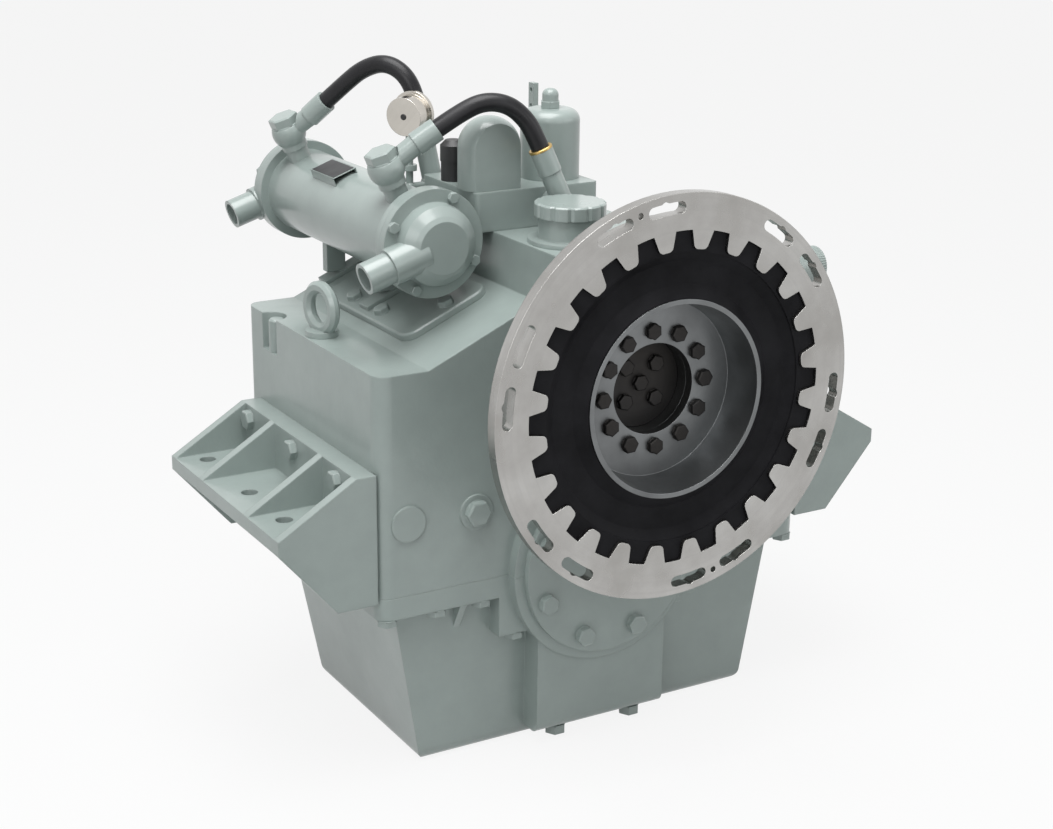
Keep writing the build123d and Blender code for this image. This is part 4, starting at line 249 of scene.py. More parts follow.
def calc(tree, operation, first, second):
    """Value that a Math node works out from two others; each is a socket or a number."""
    made = tree.nodes.new("ShaderNodeMath")
    made.operation = operation
    for socket, value in zip(made.inputs, (first, second)):
        if isinstance(value, bpy.types.NodeSocket):
            tree.links.new(value, socket)
        else:
            socket.default_value = value
    return made.outputs[0]


def seen_directly(tree):
    """1 where the camera, a gloss or a glass looks at the backdrop, 0 where it only gives light."""
    path = node(tree, "ShaderNodeLightPath")
    either = calc(tree, "MAXIMUM", path.outputs["Is Camera Ray"], path.outputs["Is Glossy Ray"])
    return calc(tree, "MAXIMUM", either, path.outputs["Is Transmission Ray"])


# Shared effects


def patches_group():
    """Broad soft patches, as from handling, dust and uneven spraying; on the turned ring they also
    carry a painted dark reflection.
    """
    tree, start, end = group(
        "patches",
        [("Size", "NodeSocketFloat", 6.0), ("Contrast", "NodeSocketFloat", 0.5)],
        [("Mask", "NodeSocketFloat")],
    )
    place_at = node(tree, "ShaderNodeTexCoord")
    noise = node(tree, "ShaderNodeTexNoise", Detail=4.0, Roughness=0.6)
    tree.links.new(place_at.outputs["Object"], noise.inputs["Vector"])
    tree.links.new(start.outputs["Size"], noise.inputs["Scale"])
    centred = calc(tree, "SUBTRACT", noise.outputs["Fac"], 0.5)
    scaled = calc(tree, "MULTIPLY", centred, start.outputs["Contrast"])
    stretched = calc(tree, "MULTIPLY", scaled, 4.0)
    lifted = calc(tree, "ADD", stretched, 0.5)
    tree.links.new(mapped(tree, lifted, 0, 1, 0, 1), end.inputs["Mask"])
    return tree


# Heights of a cast skin, as shares of its swells
PEEL_DEPTH = 0.22
PORE_DEPTH = 0.10


def casting_group():
    """Skin of a sand casting under thick paint: swells, pores and a fine orange peel."""
    tree, start, end = group(
        "casting_skin",
        [("Swell", "NodeSocketFloat", 28.0), ("Pores", "NodeSocketFloat", 240.0)],
        [("Height", "NodeSocketFloat"), ("Pits", "NodeSocketFloat")],
    )
    place_at = node(tree, "ShaderNodeTexCoord")
    swell = node(tree, "ShaderNodeTexNoise", Detail=3.0, Roughness=0.5)
    fine = node(tree, "ShaderNodeTexNoise", Detail=2.0, Roughness=0.5)
    pores = node(tree, "ShaderNodeTexVoronoi")
    for texture, scale in ((swell, "Swell"), (fine, "Pores"), (pores, "Pores")):
        tree.links.new(place_at.outputs["Object"], texture.inputs["Vector"])
        tree.links.new(start.outputs[scale], texture.inputs["Scale"])
    pits = mapped(tree, pores.outputs["Distance"], 0.0, 0.22, 1, 0)
    peel = calc(tree, "MULTIPLY", fine.outputs["Fac"], PEEL_DEPTH)
    rough = calc(tree, "ADD", swell.outputs["Fac"], peel)
    height = calc(tree, "SUBTRACT", rough, calc(tree, "MULTIPLY", pits, PORE_DEPTH))
    tree.links.new(height, end.inputs["Height"])
    tree.links.new(pits, end.inputs["Pits"])
    return tree


def edge_group():
    """Edges and inner corners: a rounded normal, and a mask that is 1 where the form turns."""
    tree, start, end = group(
        "soft_edges",
        [("Radius", "NodeSocketFloat", 0.003)],
        [("Normal", "NodeSocketVector"), ("Mask", "NodeSocketFloat")],
    )
    bevel = node(tree, "ShaderNodeBevel", samples=4)
    surface = node(tree, "ShaderNodeNewGeometry")
    product = node(tree, "ShaderNodeVectorMath", operation="DOT_PRODUCT")
    tree.links.new(start.outputs["Radius"], bevel.inputs["Radius"])
    tree.links.new(bevel.outputs["Normal"], product.inputs[0])
    tree.links.new(surface.outputs["Normal"], product.inputs[1])
    tree.links.new(bevel.outputs["Normal"], end.inputs["Normal"])
    tree.links.new(mapped(tree, product.outputs["Value"], 0.99, 0.80, 0, 1), end.inputs["Mask"])
    return tree


def turning_group():
    """Fine circles round the shaft line, as a lathe tool leaves them, and broad bands along them
    for a painted dark reflection.
    """
    tree, start, end = group(
        "turning_marks",
        [("Pitch", "NodeSocketFloat", 900.0)],
        [("Height", "NodeSocketFloat"), ("Painted_reflection", "NodeSocketFloat")],
    )
    place_at = node(tree, "ShaderNodeTexCoord")
    parts = node(tree, "ShaderNodeSeparateXYZ")
    tree.links.new(place_at.outputs["Object"], parts.inputs["Vector"])
    squares = calc(tree, "ADD", calc(tree, "MULTIPLY", parts.outputs["X"], parts.outputs["X"]),
                   calc(tree, "MULTIPLY", parts.outputs["Z"], parts.outputs["Z"]))
    radius = calc(tree, "POWER", squares, 0.5)
    along = calc(tree, "ADD", radius, calc(tree, "MULTIPLY", parts.outputs["Y"], 0.9))
    for socket, spread, detail in (("Height", 1.0, 3.0), ("Painted_reflection", 0.16, 2.0)):
        marks = node(tree, "ShaderNodeTexNoise", noise_dimensions="1D",
                     Detail=detail, Roughness=0.7)
        tree.links.new(calc(tree, "MULTIPLY", along, start.outputs["Pitch"]), marks.inputs["W"])
        marks.inputs["Scale"].default_value = spread
        tree.links.new(marks.outputs["Fac"], end.inputs[socket])
    return tree


SHARED = {}


def shared(name):
    """A shared group by name, built at its first use."""
    makers = {
        "patches": patches_group,
        "casting": casting_group,
        "edges": edge_group,
        "turning": turning_group,
    }
    if name not in SHARED:
        SHARED[name] = makers[name]()
    return SHARED[name]


def bumped(tree, shader, height, distance, normal=None):
    """Bump from a height into the shader's normal."""
    bump = node(tree, "ShaderNodeBump")
    bump.inputs["Distance"].default_value = distance
    tree.links.new(height, bump.inputs["Height"])
    if normal is not None:
        tree.links.new(normal, bump.inputs["Normal"])
    tree.links.new(bump.outputs["Normal"], shader.inputs["Normal"])


# Materials

# Paint: how much dust lies on it, how dark that is, and how much lighter its rims are as a painted
# highlight
DUST_SHARE = 0.22
DUST_TONE = 0.78
RIM_HIGHLIGHT_SHARE = 0.35
RIM_HIGHLIGHT_TONE = 1.22
PAINT_SPREAD = 0.14

# Metal: softened edge in metres, painted dark reflection bands along the turning, and a painted
# highlight on the edges
METAL_EDGE = 0.0012
REFLECTION_BAND_SHARE = 0.18
REFLECTION_BAND_TONE = 0.72
EDGE_HIGHLIGHT_SHARE = 0.5
EDGE_HIGHLIGHT_TONE = 1.25
LEAST_MARKS = 0.00001
METAL_SPREAD = 0.16


def lighter(colour, tone):
    """Colour times a tone, held below white."""
    return tuple(min(1, c * tone) for c in colour)


def darker(colour, tone):
    """Colour times a tone below 1."""
    return tuple(c * tone for c in colour)


def enamel(name, grain=1.0, edge=1.0, gloss=0.30):
    """Gloss enamel over cast iron, with a painted highlight on its edges and inner corners."""
    paint = bpy.context.scene.gearbox_paint
    material, tree, shader = new_material(name)
    patches = place(tree, shared("patches"), Size=5.0, Contrast=0.55)
    fine = place(tree, shared("patches"), Size=34.0, Contrast=0.5)
    skin = place(tree, shared("casting"))
    edges = place(tree, shared("edges"), Radius=paint.edge * edge)
    tone = blended(tree, patches.outputs["Mask"], tuple(paint.colour), tuple(paint.shade))
    dull = calc(tree, "MULTIPLY", fine.outputs["Mask"], DUST_SHARE)
    tone = blended(tree, dull, tone, darker(paint.shade, DUST_TONE))
    # painted highlight: edges and inner corners lighter than the paint
    painted_rim_highlight = calc(tree, "MULTIPLY", edges.outputs["Mask"], RIM_HIGHLIGHT_SHARE)
    tone = blended(tree, painted_rim_highlight, tone, lighter(paint.colour, RIM_HIGHLIGHT_TONE))
    tree.links.new(tone, shader.inputs["Base Color"])
    uneven(tree, shader, patches.outputs["Mask"], gloss, gloss + PAINT_SPREAD)
    shader.inputs["IOR"].default_value = 1.5
    shader.inputs["Coat Weight"].default_value = 0.35
    shader.inputs["Coat Roughness"].default_value = 0.12
    bumped(tree, shader, skin.outputs["Height"], paint.grain * grain, edges.outputs["Normal"])
    return material


def metal(name, colour, roughness, stain_and_reflection=(0.05, 0.045, 0.04), amount=0.3, turning=0.0):
    """Bare metal with stains, softened edges, a painted edge highlight, painted dark reflection
    bands and, if wanted, turning marks.
    """
    material, tree, shader = new_material(name)
    shader.inputs["Metallic"].default_value = 1
    patches = place(tree, shared("patches"), Size=9.0, Contrast=0.6)
    edges = place(tree, shared("edges"), Radius=METAL_EDGE)
    marks = place(tree, shared("turning"))
    # stain patches; on the turned ring the brownish patches are a painted dark reflection
    stain_and_reflection_share = calc(tree, "MULTIPLY", patches.outputs["Mask"], amount)
    tone = blended(tree, stain_and_reflection_share, tuple(colour), stain_and_reflection)
    # painted reflection: darker bands along the turning
    strong = mapped(tree, marks.outputs["Painted_reflection"], 0.35, 0.65, 0, 1)
    painted_reflection_bands = calc(tree, "MULTIPLY", strong, REFLECTION_BAND_SHARE)
    tone = blended(tree, painted_reflection_bands, tone, darker(colour, REFLECTION_BAND_TONE))
    # painted highlight: edges lighter than the metal
    painted_edge_highlight = calc(tree, "MULTIPLY", edges.outputs["Mask"], EDGE_HIGHLIGHT_SHARE)
    tone = blended(tree, painted_edge_highlight, tone, lighter(colour, EDGE_HIGHLIGHT_TONE))
    tree.links.new(tone, shader.inputs["Base Color"])
    uneven(tree, shader, patches.outputs["Mask"], roughness, roughness + METAL_SPREAD)
    depth = max(turning, LEAST_MARKS)
    bumped(tree, shader, marks.outputs["Height"], depth, edges.outputs["Normal"])
    return material


def rubber(name, colour=(0.007, 0.007, 0.008), roughness=0.52, grain=0.00015, shine=0.06):
    """Moulded black rubber."""
    material, tree, shader = new_material(name)
    shader.inputs["Specular IOR Level"].default_value = shine
    patches = place(tree, shared("patches"), Size=16.0, Contrast=0.7)
    skin = place(tree, shared("casting"), Swell=60.0, Pores=700.0)
    edges = place(tree, shared("edges"), Radius=0.0015)
    tone = blended(tree, patches.outputs["Mask"], colour, tuple(c * 2.0 + 0.002 for c in colour))
    tree.links.new(tone, shader.inputs["Base Color"])
    uneven(tree, shader, patches.outputs["Mask"], roughness - 0.14, roughness + 0.1)
    bumped(tree, shader, skin.outputs["Height"], grain, edges.outputs["Normal"])
    return material


def plain(name, colour, roughness, grain=0.0001):
    """Small trim: moulded plastic, print or paper, with a fine uneven surface."""
    material, tree, shader = new_material(name)
    patches = place(tree, shared("patches"), Size=40.0, Contrast=0.5)
    skin = place(tree, shared("casting"), Swell=120.0, Pores=900.0)
    tone = blended(tree, patches.outputs["Mask"], colour, tuple(c * 0.82 for c in colour))
    tree.links.new(tone, shader.inputs["Base Color"])
    uneven(tree, shader, patches.outputs["Mask"], roughness, roughness + 0.12)
    bumped(tree, shader, skin.outputs["Height"], grain)
    return material


MADE = {}


def finish_of(name):
    """A finish by name, made at its first use."""
    bare = bpy.context.scene.gearbox_metal
    makers = {
        "casting_enamel": lambda: enamel("casting_enamel"),
        "smooth_enamel": lambda: enamel("smooth_enamel", grain=0.45, edge=0.6, gloss=0.24),
        "screw_enamel": lambda: enamel("screw_enamel", grain=0.3, edge=0.3, gloss=0.26),
        # the ring's brownish patches are a painted dark reflection
        "turned_aluminium": lambda: metal(
            "turned_aluminium", bare.ring, 0.17, (0.17, 0.155, 0.14), 0.5, bare.turning),
        "oiled_hub": lambda: metal(
            "oiled_hub", bare.hub, 0.28, (0.03, 0.03, 0.03), 0.5, bare.turning),
        "black_oxide": lambda: metal("black_oxide", (0.035, 0.034, 0.034), 0.42, amount=0.4),
        "ground_steel": lambda: metal("ground_steel", (0.50, 0.50, 0.49), 0.28, amount=0.35),
        "polished_case": lambda: metal("polished_case", (0.62, 0.59, 0.54), 0.12, amount=0.2),
        "brass": lambda: metal("brass", (0.62, 0.43, 0.16), 0.3, amount=0.2),
        "copper": lambda: metal("copper", (0.72, 0.40, 0.27), 0.3, amount=0.3),
        "element_rubber": lambda: rubber("element_rubber"),
        "hose_rubber": lambda: rubber("hose_rubber", (0.006, 0.006, 0.007), 0.34, 0.00008, 0.3),
        "black_plastic": lambda: plain("black_plastic", (0.016, 0.016, 0.017), 0.4),
        "filter_paper": lambda: plain("filter_paper", (0.58, 0.45, 0.24), 0.8),
        "dial_white": lambda: plain("dial_white", (0.80, 0.80, 0.78), 0.5, grain=0.00002),
        "plate_black": lambda: plain("plate_black", (0.03, 0.03, 0.032), 0.35, grain=0.00002),
    }
    if name not in MADE:
        MADE[name] = makers[name]()
    return MADE[name]


def finish_node(name, finish):
    """Gives a CAD node its finish."""
    obj = nodes[name]
    obj.data.materials.clear()
    obj.data.materials.append(finish_of(finish))


# Mesh helpers


def linked_object(name, mesh):
    """Object of the scene from a bmesh, which is freed."""
    data = bpy.data.meshes.new(name)
    mesh.to_mesh(data)
    mesh.free()
    obj = bpy.data.objects.new(name, data)
    bpy.context.scene.collection.objects.link(obj)
    return obj


def add_piece(name, mesh, body, finish, smooth=None):
    """Object from a bmesh, riding on a body, with its finish and slot."""
    obj = linked_object(name, mesh)
    obj.data.materials.append(finish_of(finish))
    if smooth is not None:
        obj.data.shade_smooth()
        obj.data.set_sharp_from_angle(angle=radians(smooth))
    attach(obj, body)
    return obj


def spun(mesh, profile, place_at, steps=48):
    """Adds a body of revolution; the profile holds (radius, height) along the place's Z."""
    rings = []
    for radius, height in profile:
        if radius < 1e-7:
            rings.append([mesh.verts.new(place_at @ Vector((0, 0, height)))])
        else:
            rings.append([
                mesh.verts.new(place_at @ Vector((
                    radius * cos(2 * pi * i / steps), radius * sin(2 * pi * i / steps), height)))
                for i in range(steps)
            ])
    for low, high in zip(rings, rings[1:]):
        for i in range(steps):
            j = (i + 1) % steps
            if len(low) == 1 and len(high) > 1:
                mesh.faces.new((low[0], high[j], high[i]))
            elif len(high) == 1 and len(low) > 1:
                mesh.faces.new((low[i], low[j], high[0]))
            elif len(low) > 1:
                mesh.faces.new((low[i], low[j], high[j], high[i]))


def facing(origin, direction, turn=None):
    """Matrix whose Z points along a direction; X follows turn where it is given."""
    z = Vector(direction).normalized()
    guide = Vector(turn) if turn is not None else Vector((0, 0, 1))
    if abs(z.dot(guide.normalized())) > 0.98:
        guide = Vector((1, 0, 0))
    x = (guide - z * guide.dot(z)).normalized()
    y = z.cross(x)
    matrix = Matrix((x, y, z)).transposed().to_4x4()
    matrix.translation = Vector(origin)
    return matrix


def islands(obj):
    """Loose parts of a CAD node, each a list of its faces' normals, areas and corners."""
    mesh = bmesh.new()
    mesh.from_mesh(obj.data)
    bmesh.ops.remove_doubles(mesh, verts=mesh.verts, dist=1e-6)
    seen, found = set(), []
    for seed in mesh.faces:
        if seed.index in seen:
            continue
        stack, part = [seed], []
        seen.add(seed.index)
        while stack:
            face = stack.pop()
            part.append(face)
            for edge in face.edges:
                for other in edge.link_faces:
                    if other.index not in seen:
                        seen.add(other.index)
                        stack.append(other)
        found.append([
            (face.normal.copy(), face.calc_area(), [v.co.copy() for v in face.verts])
            for face in part
        ])
    mesh.free()
    return found


def tree_of(names):
    """Search tree of the CAD nodes that a screw may stand on."""
    mesh = bmesh.new()
    for name in names:
        mesh.from_mesh(nodes[name].data)
    bmesh.ops.triangulate(mesh, faces=mesh.faces)
    tree = BVHTree.FromBMesh(mesh)
    mesh.free()
    return tree


def head_of(part, ground):
    """Hexagon head's seat, outward direction, corner direction, reach to a corner and height."""
    sums = {}
    for normal, area, _ in part:
        key = tuple(round(c, 2) for c in normal)
        sums[key] = sums.get(key, 0) + area
    axis = Vector(max(sums, key=sums.get)).normalized()
    corners = [corner for _, _, ends in part for corner in ends]
    along = [corner.dot(axis) for corner in corners]
    low, high = min(along), max(along)
    centre = sum(corners, Vector()) / len(corners)
    base = centre + axis * (low - centre.dot(axis))
    top = centre + axis * (high - centre.dot(axis))
    near_base = ground.find_nearest(base - axis * SEAT_PROBE)[3] or 1
    near_top = ground.find_nearest(top + axis * SEAT_PROBE)[3] or 1
    if near_top < near_base:
        axis, base, top = -axis, top, base
    flat = [c - base - axis * (c - base).dot(axis) for c in corners]
    reach = max(flat, key=lambda c: c.length)
    return base, axis, reach.normalized(), reach.length, high - low


# Screws: the washer face as shares of the head's reach and height, and the wear of the edges
WASHER_REACH = 0.97
WASHER_RIM = 0.93
WASHER_SHARE = 0.25
CHAMFER_SLOPE = 0.6
WORN_EDGE = 0.0004
SEAT_PROBE = 0.0002


def hexagon_screw(mesh, seat, axis, corner, reach, height, washer, chamfer):
    """Hexagon head with a washer face under it and a chamfered top."""
    place_at = facing(seat, axis, corner)
    wide = reach * WASHER_REACH
    spun(mesh, [
        (0, 0), (wide, 0), (wide, washer * 0.7), (reach * WASHER_RIM, washer), (0, washer)
    ], place_at, 30)
    levels = []
    shoulder = height - reach * chamfer * CHAMFER_SLOPE
    for share, z in ((1.0, washer), (1.0, shoulder), (1 - chamfer, height)):
        levels.append([
            mesh.verts.new(place_at @ Vector((
                share * reach * cos(pi * i / 3), share * reach * sin(pi * i / 3), z)))
            for i in range(6)
        ])
    for low, high in zip(levels, levels[1:]):
        for i in range(6):
            j = (i + 1) % 6
            mesh.faces.new((low[i], low[j], high[j], high[i]))
    mesh.faces.new(levels[-1])


def detailed_screws(name, node_name, body, finish, ground_names):
    """Replaces a node of plain heads by chamfered screws with washer faces."""
    settings = bpy.context.scene.gearbox_screws
    ground = tree_of(ground_names)
    mesh = bmesh.new()
    for part in islands(nodes[node_name]):
        seat, axis, corner, reach, height = head_of(part, ground)
        hexagon_screw(mesh, seat, axis, corner, reach, height,
                      min(settings.washer, height * WASHER_SHARE), settings.chamfer)
    bmesh.ops.recalc_face_normals(mesh, faces=mesh.faces)
    piece = add_piece(name, mesh, body, finish, smooth=28)
    bevel = piece.modifiers.new("worn_edges", "BEVEL")
    bevel.width = WORN_EDGE
    bevel.segments = 2
    bevel.limit_method = "ANGLE"
    bevel.angle_limit = radians(35)
    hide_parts(node_name)


# Operators

# Studio: the floor in metres, how white it looks, and where the lamps aim
FLOOR_HALF = 40
FLOOR_MIDDLE_Y = 0.3
WHITE_SHARE = 0.88
LAMPS_AIM = Vector((-0.02, 0.3, -0.05))
RIGHT_LAMP_SHARE = 0.5
FRONT_LAMP_SHARE = 0.3

# Camera of the photograph: place in metres, lens and sensor in millimetres
CAMERA_AT = Vector((-1.29616, -1.84389, 0.70858))
CAMERA_TURN = radians(30.357)
CAMERA_FALL = radians(17.972)
CAMERA_ROLL = radians(0.592)
CAMERA_LENS = 65.58
CAMERA_SENSOR = 36
CAMERA_REACH = 60


class GEARBOX_OT_stage(bpy.types.Operator):
    """Floor, even light, lamps and the camera at the photograph's angle"""

    bl_idname = "gearbox.stage"
    bl_label = "Studio"

    def execute(self, context):
        studio = context.scene.gearbox_studio
        self.floor(studio)
        self.backdrop(context.scene, studio)
        self.lamps(context.scene, studio)
        self.camera(context.scene)
        context.scene.view_settings.view_transform = "Standard"
        return {"FINISHED"}

    def floor(self, studio):
        """Pale floor under the lowest solid; it looks nearly white and keeps the shadow."""
        mesh = bmesh.new()
        bmesh.ops.create_grid(mesh, x_segments=1, y_segments=1, size=FLOOR_HALF,
                              matrix=Matrix.Translation((0, FLOOR_MIDDLE_Y, cad_box[0].z)))
        floor = linked_object("floor", mesh)
        material, tree, shader = new_material("pale_floor")
        shader.inputs["Base Color"].default_value = (*studio.floor, 1)
        shader.inputs["Roughness"].default_value = 0.8
        shader.inputs["Specular IOR Level"].default_value = 0.2
        output = [n for n in tree.nodes if n.type == "OUTPUT_MATERIAL"][0]
        glow = node(tree, "ShaderNodeEmission")
        glow.inputs["Color"].default_value = (1, 1, 1, 1)
        mix = node(tree, "ShaderNodeMixShader")
        share = calc(tree, "MULTIPLY", seen_directly(tree), WHITE_SHARE)
        tree.links.new(share, mix.inputs["Fac"])
        tree.links.new(shader.outputs["BSDF"], mix.inputs[1])
        tree.links.new(glow.outputs["Emission"], mix.inputs[2])
        tree.links.new(mix.outputs["Shader"], output.inputs["Surface"])
        floor.data.materials.append(material)

    def backdrop(self, scene, studio):
        """World that looks white and lights evenly."""
        world = bpy.data.worlds.new("even_light")
        world.use_nodes = True
        scene.world = world
        tree = world.node_tree
        tree.nodes.clear()
        output = node(tree, "ShaderNodeOutputWorld")
        background = node(tree, "ShaderNodeBackground")
        background.inputs["Color"].default_value = (1, 1, 1, 1)
        strength = mapped(tree, seen_directly(tree), 0, 1, studio.sky, 1.0)
        tree.links.new(strength, background.inputs["Strength"])
        tree.links.new(background.outputs["Background"], output.inputs["Surface"])

    def lamps(self, scene, studio):
        """Large soft lamps; each line holds name, place, size and power."""
        for name, at, size, power in (
            ("lamp_above", (-0.5, -0.1, 2.6), (2.4, 2.0), studio.key),
            ("lamp_left", (-2.4, -1.6, 1.3), (1.2, 1.8), studio.fill),
            ("lamp_right", (2.2, -1.8, 1.0), (1.0, 1.8), studio.fill * RIGHT_LAMP_SHARE),
            ("lamp_front", (0.4, -3.0, 0.9), (1.6, 0.5), studio.fill * FRONT_LAMP_SHARE),
        ):
            light = bpy.data.lights.new(name, "AREA")
            light.shape = "RECTANGLE"
            light.size, light.size_y = size
            light.energy = power
            lamp = bpy.data.objects.new(name, light)
            scene.collection.objects.link(lamp)
            lamp.matrix_world = facing(at, Vector(at) - LAMPS_AIM)

    def camera(self, scene):
        """Camera that sees the part as the photograph does."""
        right = Vector((cos(CAMERA_TURN), -sin(CAMERA_TURN), 0))
        forward = Vector((
            sin(CAMERA_TURN) * cos(CAMERA_FALL),
            cos(CAMERA_TURN) * cos(CAMERA_FALL),
            -sin(CAMERA_FALL),
        ))
        up = right.cross(forward)
        across = right * cos(CAMERA_ROLL) + up * sin(CAMERA_ROLL)
        above = up * cos(CAMERA_ROLL) - right * sin(CAMERA_ROLL)
        camera = bpy.data.cameras.new("camera")
        camera.lens = CAMERA_LENS
        camera.sensor_width = CAMERA_SENSOR
        camera.clip_end = CAMERA_REACH
        view = bpy.data.objects.new("camera", camera)
        scene.collection.objects.link(view)
        matrix = Matrix((across, above, -forward)).transposed().to_4x4()
        matrix.translation = CAMERA_AT
        view.matrix_world = matrix
        scene.camera = view


class GEARBOX_OT_castings(bpy.types.Operator):
    """Enamel on the case, covers, brackets, cooler and fittings"""

    bl_idname = "gearbox.castings"
    bl_label = "Painted castings"

    def execute(self, context):
        for name in (
            "upper_case", "lower_case", "left_bracket", "right_bracket", "output_front_cover",
            "output_rear_housing", "input_bearing_cover", "reverse_cover", "inspection_cover",
            "pump_body", "valve_block", "filler_neck", "cooler_mounts",
        ):
            finish_node(name, "casting_enamel")
        for name in (
            "valve_dome", "filter_canister", "filter_nut", "filler_cap", "cooler_shell",
            "cooler_caps", "unions", "hose_elbows", "lifting_eyes", "gauge_pipe", "control_lever",
            "corner_bolt",
        ):
            finish_node(name, "smooth_enamel")
        return {"FINISHED"}


class GEARBOX_OT_coupling(bpy.types.Operator):
    """Aluminium, rubber and steel of the coupling"""

    bl_idname = "gearbox.coupling"
    bl_label = "Coupling"

    def execute(self, context):
        finish_node("coupling_ring", "turned_aluminium")
        finish_node("coupling_rubber", "element_rubber")
        finish_node("coupling_hub", "oiled_hub")
        finish_node("coupling_flange", "oiled_hub")
        finish_node("shaft_end_plate", "black_oxide")
        return {"FINISHED"}


class GEARBOX_OT_inner_pieces(bpy.types.Operator):
    """Shafts, gears, clutches, bearings, seals, filter and tube bundle"""

    bl_idname = "gearbox.inner_pieces"
    bl_label = "Inner pieces"

    def execute(self, context):
        for name in (
            "input_shaft", "reverse_shaft", "ahead_drum", "astern_drum", "ahead_piston",
            "astern_piston", "ahead_pinion", "astern_pinion", "output_gear", "output_shaft",
            "output_flange", "shaft_bearings", "pump_drive_gear", "pump_idler_gear",
            "filler_basket", "strainer_element",
        ):
            finish_node(name, "ground_steel")
        finish_node("shaft_seals", "element_rubber")
        finish_node("filter_element", "filter_paper")
        finish_node("cooler_bundle", "copper")
        finish_node("pressure_switch", "black_plastic")
        finish_node("gauge_case", "polished_case")
        finish_node("gauge_needle", "black_plastic")
        return {"FINISHED"}


class GEARBOX_OT_screws(bpy.types.Operator):
    """Chamfered hexagon screws with washer faces, in place of the plain heads"""

    bl_idname = "gearbox.screws"
    bl_label = "Screws"

    def execute(self, context):
        detailed_screws("coupling_screws", "coupling_bolts", "input", "black_oxide",
                        ["coupling_hub", "shaft_end_plate"])
        detailed_screws("bracket_screws", "bracket_bolts", "case", "screw_enamel",
                        ["left_bracket", "right_bracket"])
        detailed_screws("split_screws", "split_bolts", "case", "screw_enamel",
                        ["lower_case"])
        detailed_screws("cover_screws", "cover_bolts", "case", "screw_enamel", [
            "output_front_cover", "output_rear_housing", "reverse_cover", "inspection_cover",
            "upper_case", "lower_case"])
        detailed_screws("cooler_screws", "cooler_bolts", "case", "screw_enamel",
                        ["unions", "cooler_caps"])
        return {"FINISHED"}


# Hoses: points from the cooler's union to the elbow on the valve block, in metres
FRONT_ROUTE = (
    (-0.1759, 0.3000, 0.3028), (-0.1476, 0.2914, 0.3225), (-0.1179, 0.2823, 0.3365),
    (-0.0873, 0.2730, 0.3320), (-0.0644, 0.2661, 0.3110), (-0.0529, 0.2626, 0.2880),
    (-0.0462, 0.2605, 0.2718),
)
REAR_ROUTE = (
    (-0.2018, 0.5794, 0.3016), (-0.1838, 0.5567, 0.3270), (-0.1658, 0.5339, 0.3500),
    (-0.1453, 0.5081, 0.3600), (-0.1279, 0.4861, 0.3470), (-0.1179, 0.4736, 0.3200),
    (-0.1142, 0.4689, 0.2920),
)


class GEARBOX_OT_hoses(bpy.types.Operator):
    """Two oil hoses from the cooler's unions to the valve block"""

    bl_idname = "gearbox.hoses"
    bl_label = "Hoses"

    def execute(self, context):
        radius = context.scene.gearbox_hoses.radius
        for name, route in (("hose_front", FRONT_ROUTE), ("hose_rear", REAR_ROUTE)):
            curve = bpy.data.curves.new(name + "_line", "CURVE")
            curve.dimensions = "3D"
            curve.resolution_u = 16
            curve.bevel_depth = radius
            curve.bevel_resolution = 10
            curve.use_fill_caps = True
            line = curve.splines.new("NURBS")
            line.points.add(len(route) - 1)
            for point, place_at in zip(line.points, route):
                point.co = (*place_at, 1)
            line.order_u = 3
            line.use_endpoint_u = True
            hose = bpy.data.objects.new(name + "_rubber", curve)
            context.scene.collection.objects.link(hose)
            curve.materials.append(finish_of("hose_rubber"))
            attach(hose, "case")
            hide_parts(name)
        return {"FINISHED"}


# Cooler and its plate; the plate leans by an angle from the right and stands off the axis
COOLER_LINE = Vector((-0.200, 0, 0.1642))
COOLER_RADIUS = 0.0585
PLATE_Y = 0.5025
PLATE_LEAN = radians(110)
PLATE_HEIGHT = 0.065
PLATE_SHIFT = 0.007
PLATE_THICK = 0.0012
PLATE_BORDER = 0.002
PLATE_BEVEL = 0.0003

# Gauge: middle of its case, the way its dial faces, and the print on it; angles in degrees
GAUGE_AT = Vector((-0.140, 0.449, 0.297))
GAUGE_FACING = Vector((0.84, 0.545, 0.08)).normalized()
GAUGE_BACK = 0.0145
DIAL_RADIUS = 0.0238
DIAL_DEPTH = 0.00702
DIAL_THICK = 0.00012
DIAL_START = -45
DIAL_SWEEP = 270
MARK_RING = 0.0195
MARK_LONG = 0.0045
MARK_SHORT = 0.0028
MARK_WIDE = 0.0007
MARK_THICK = 0.0001
VENT_RADIUS = 0.0042

# Brass ring of the front hose
BRASS_BORE = 0.0122
BRASS_RADIUS = 0.0158
BRASS_LENGTH = 0.0034
BRASS_CHAMFER = 0.0008

# Strainer knob; its grooves and end chamfers are shares of its radius
KNOB_AT = Vector((0.3353, 0.192, 0.090))
KNOB_RADIUS = 0.027
KNOB_LENGTH = 0.023
KNOB_RIDGES = 48
KNOB_GROOVE = 0.965


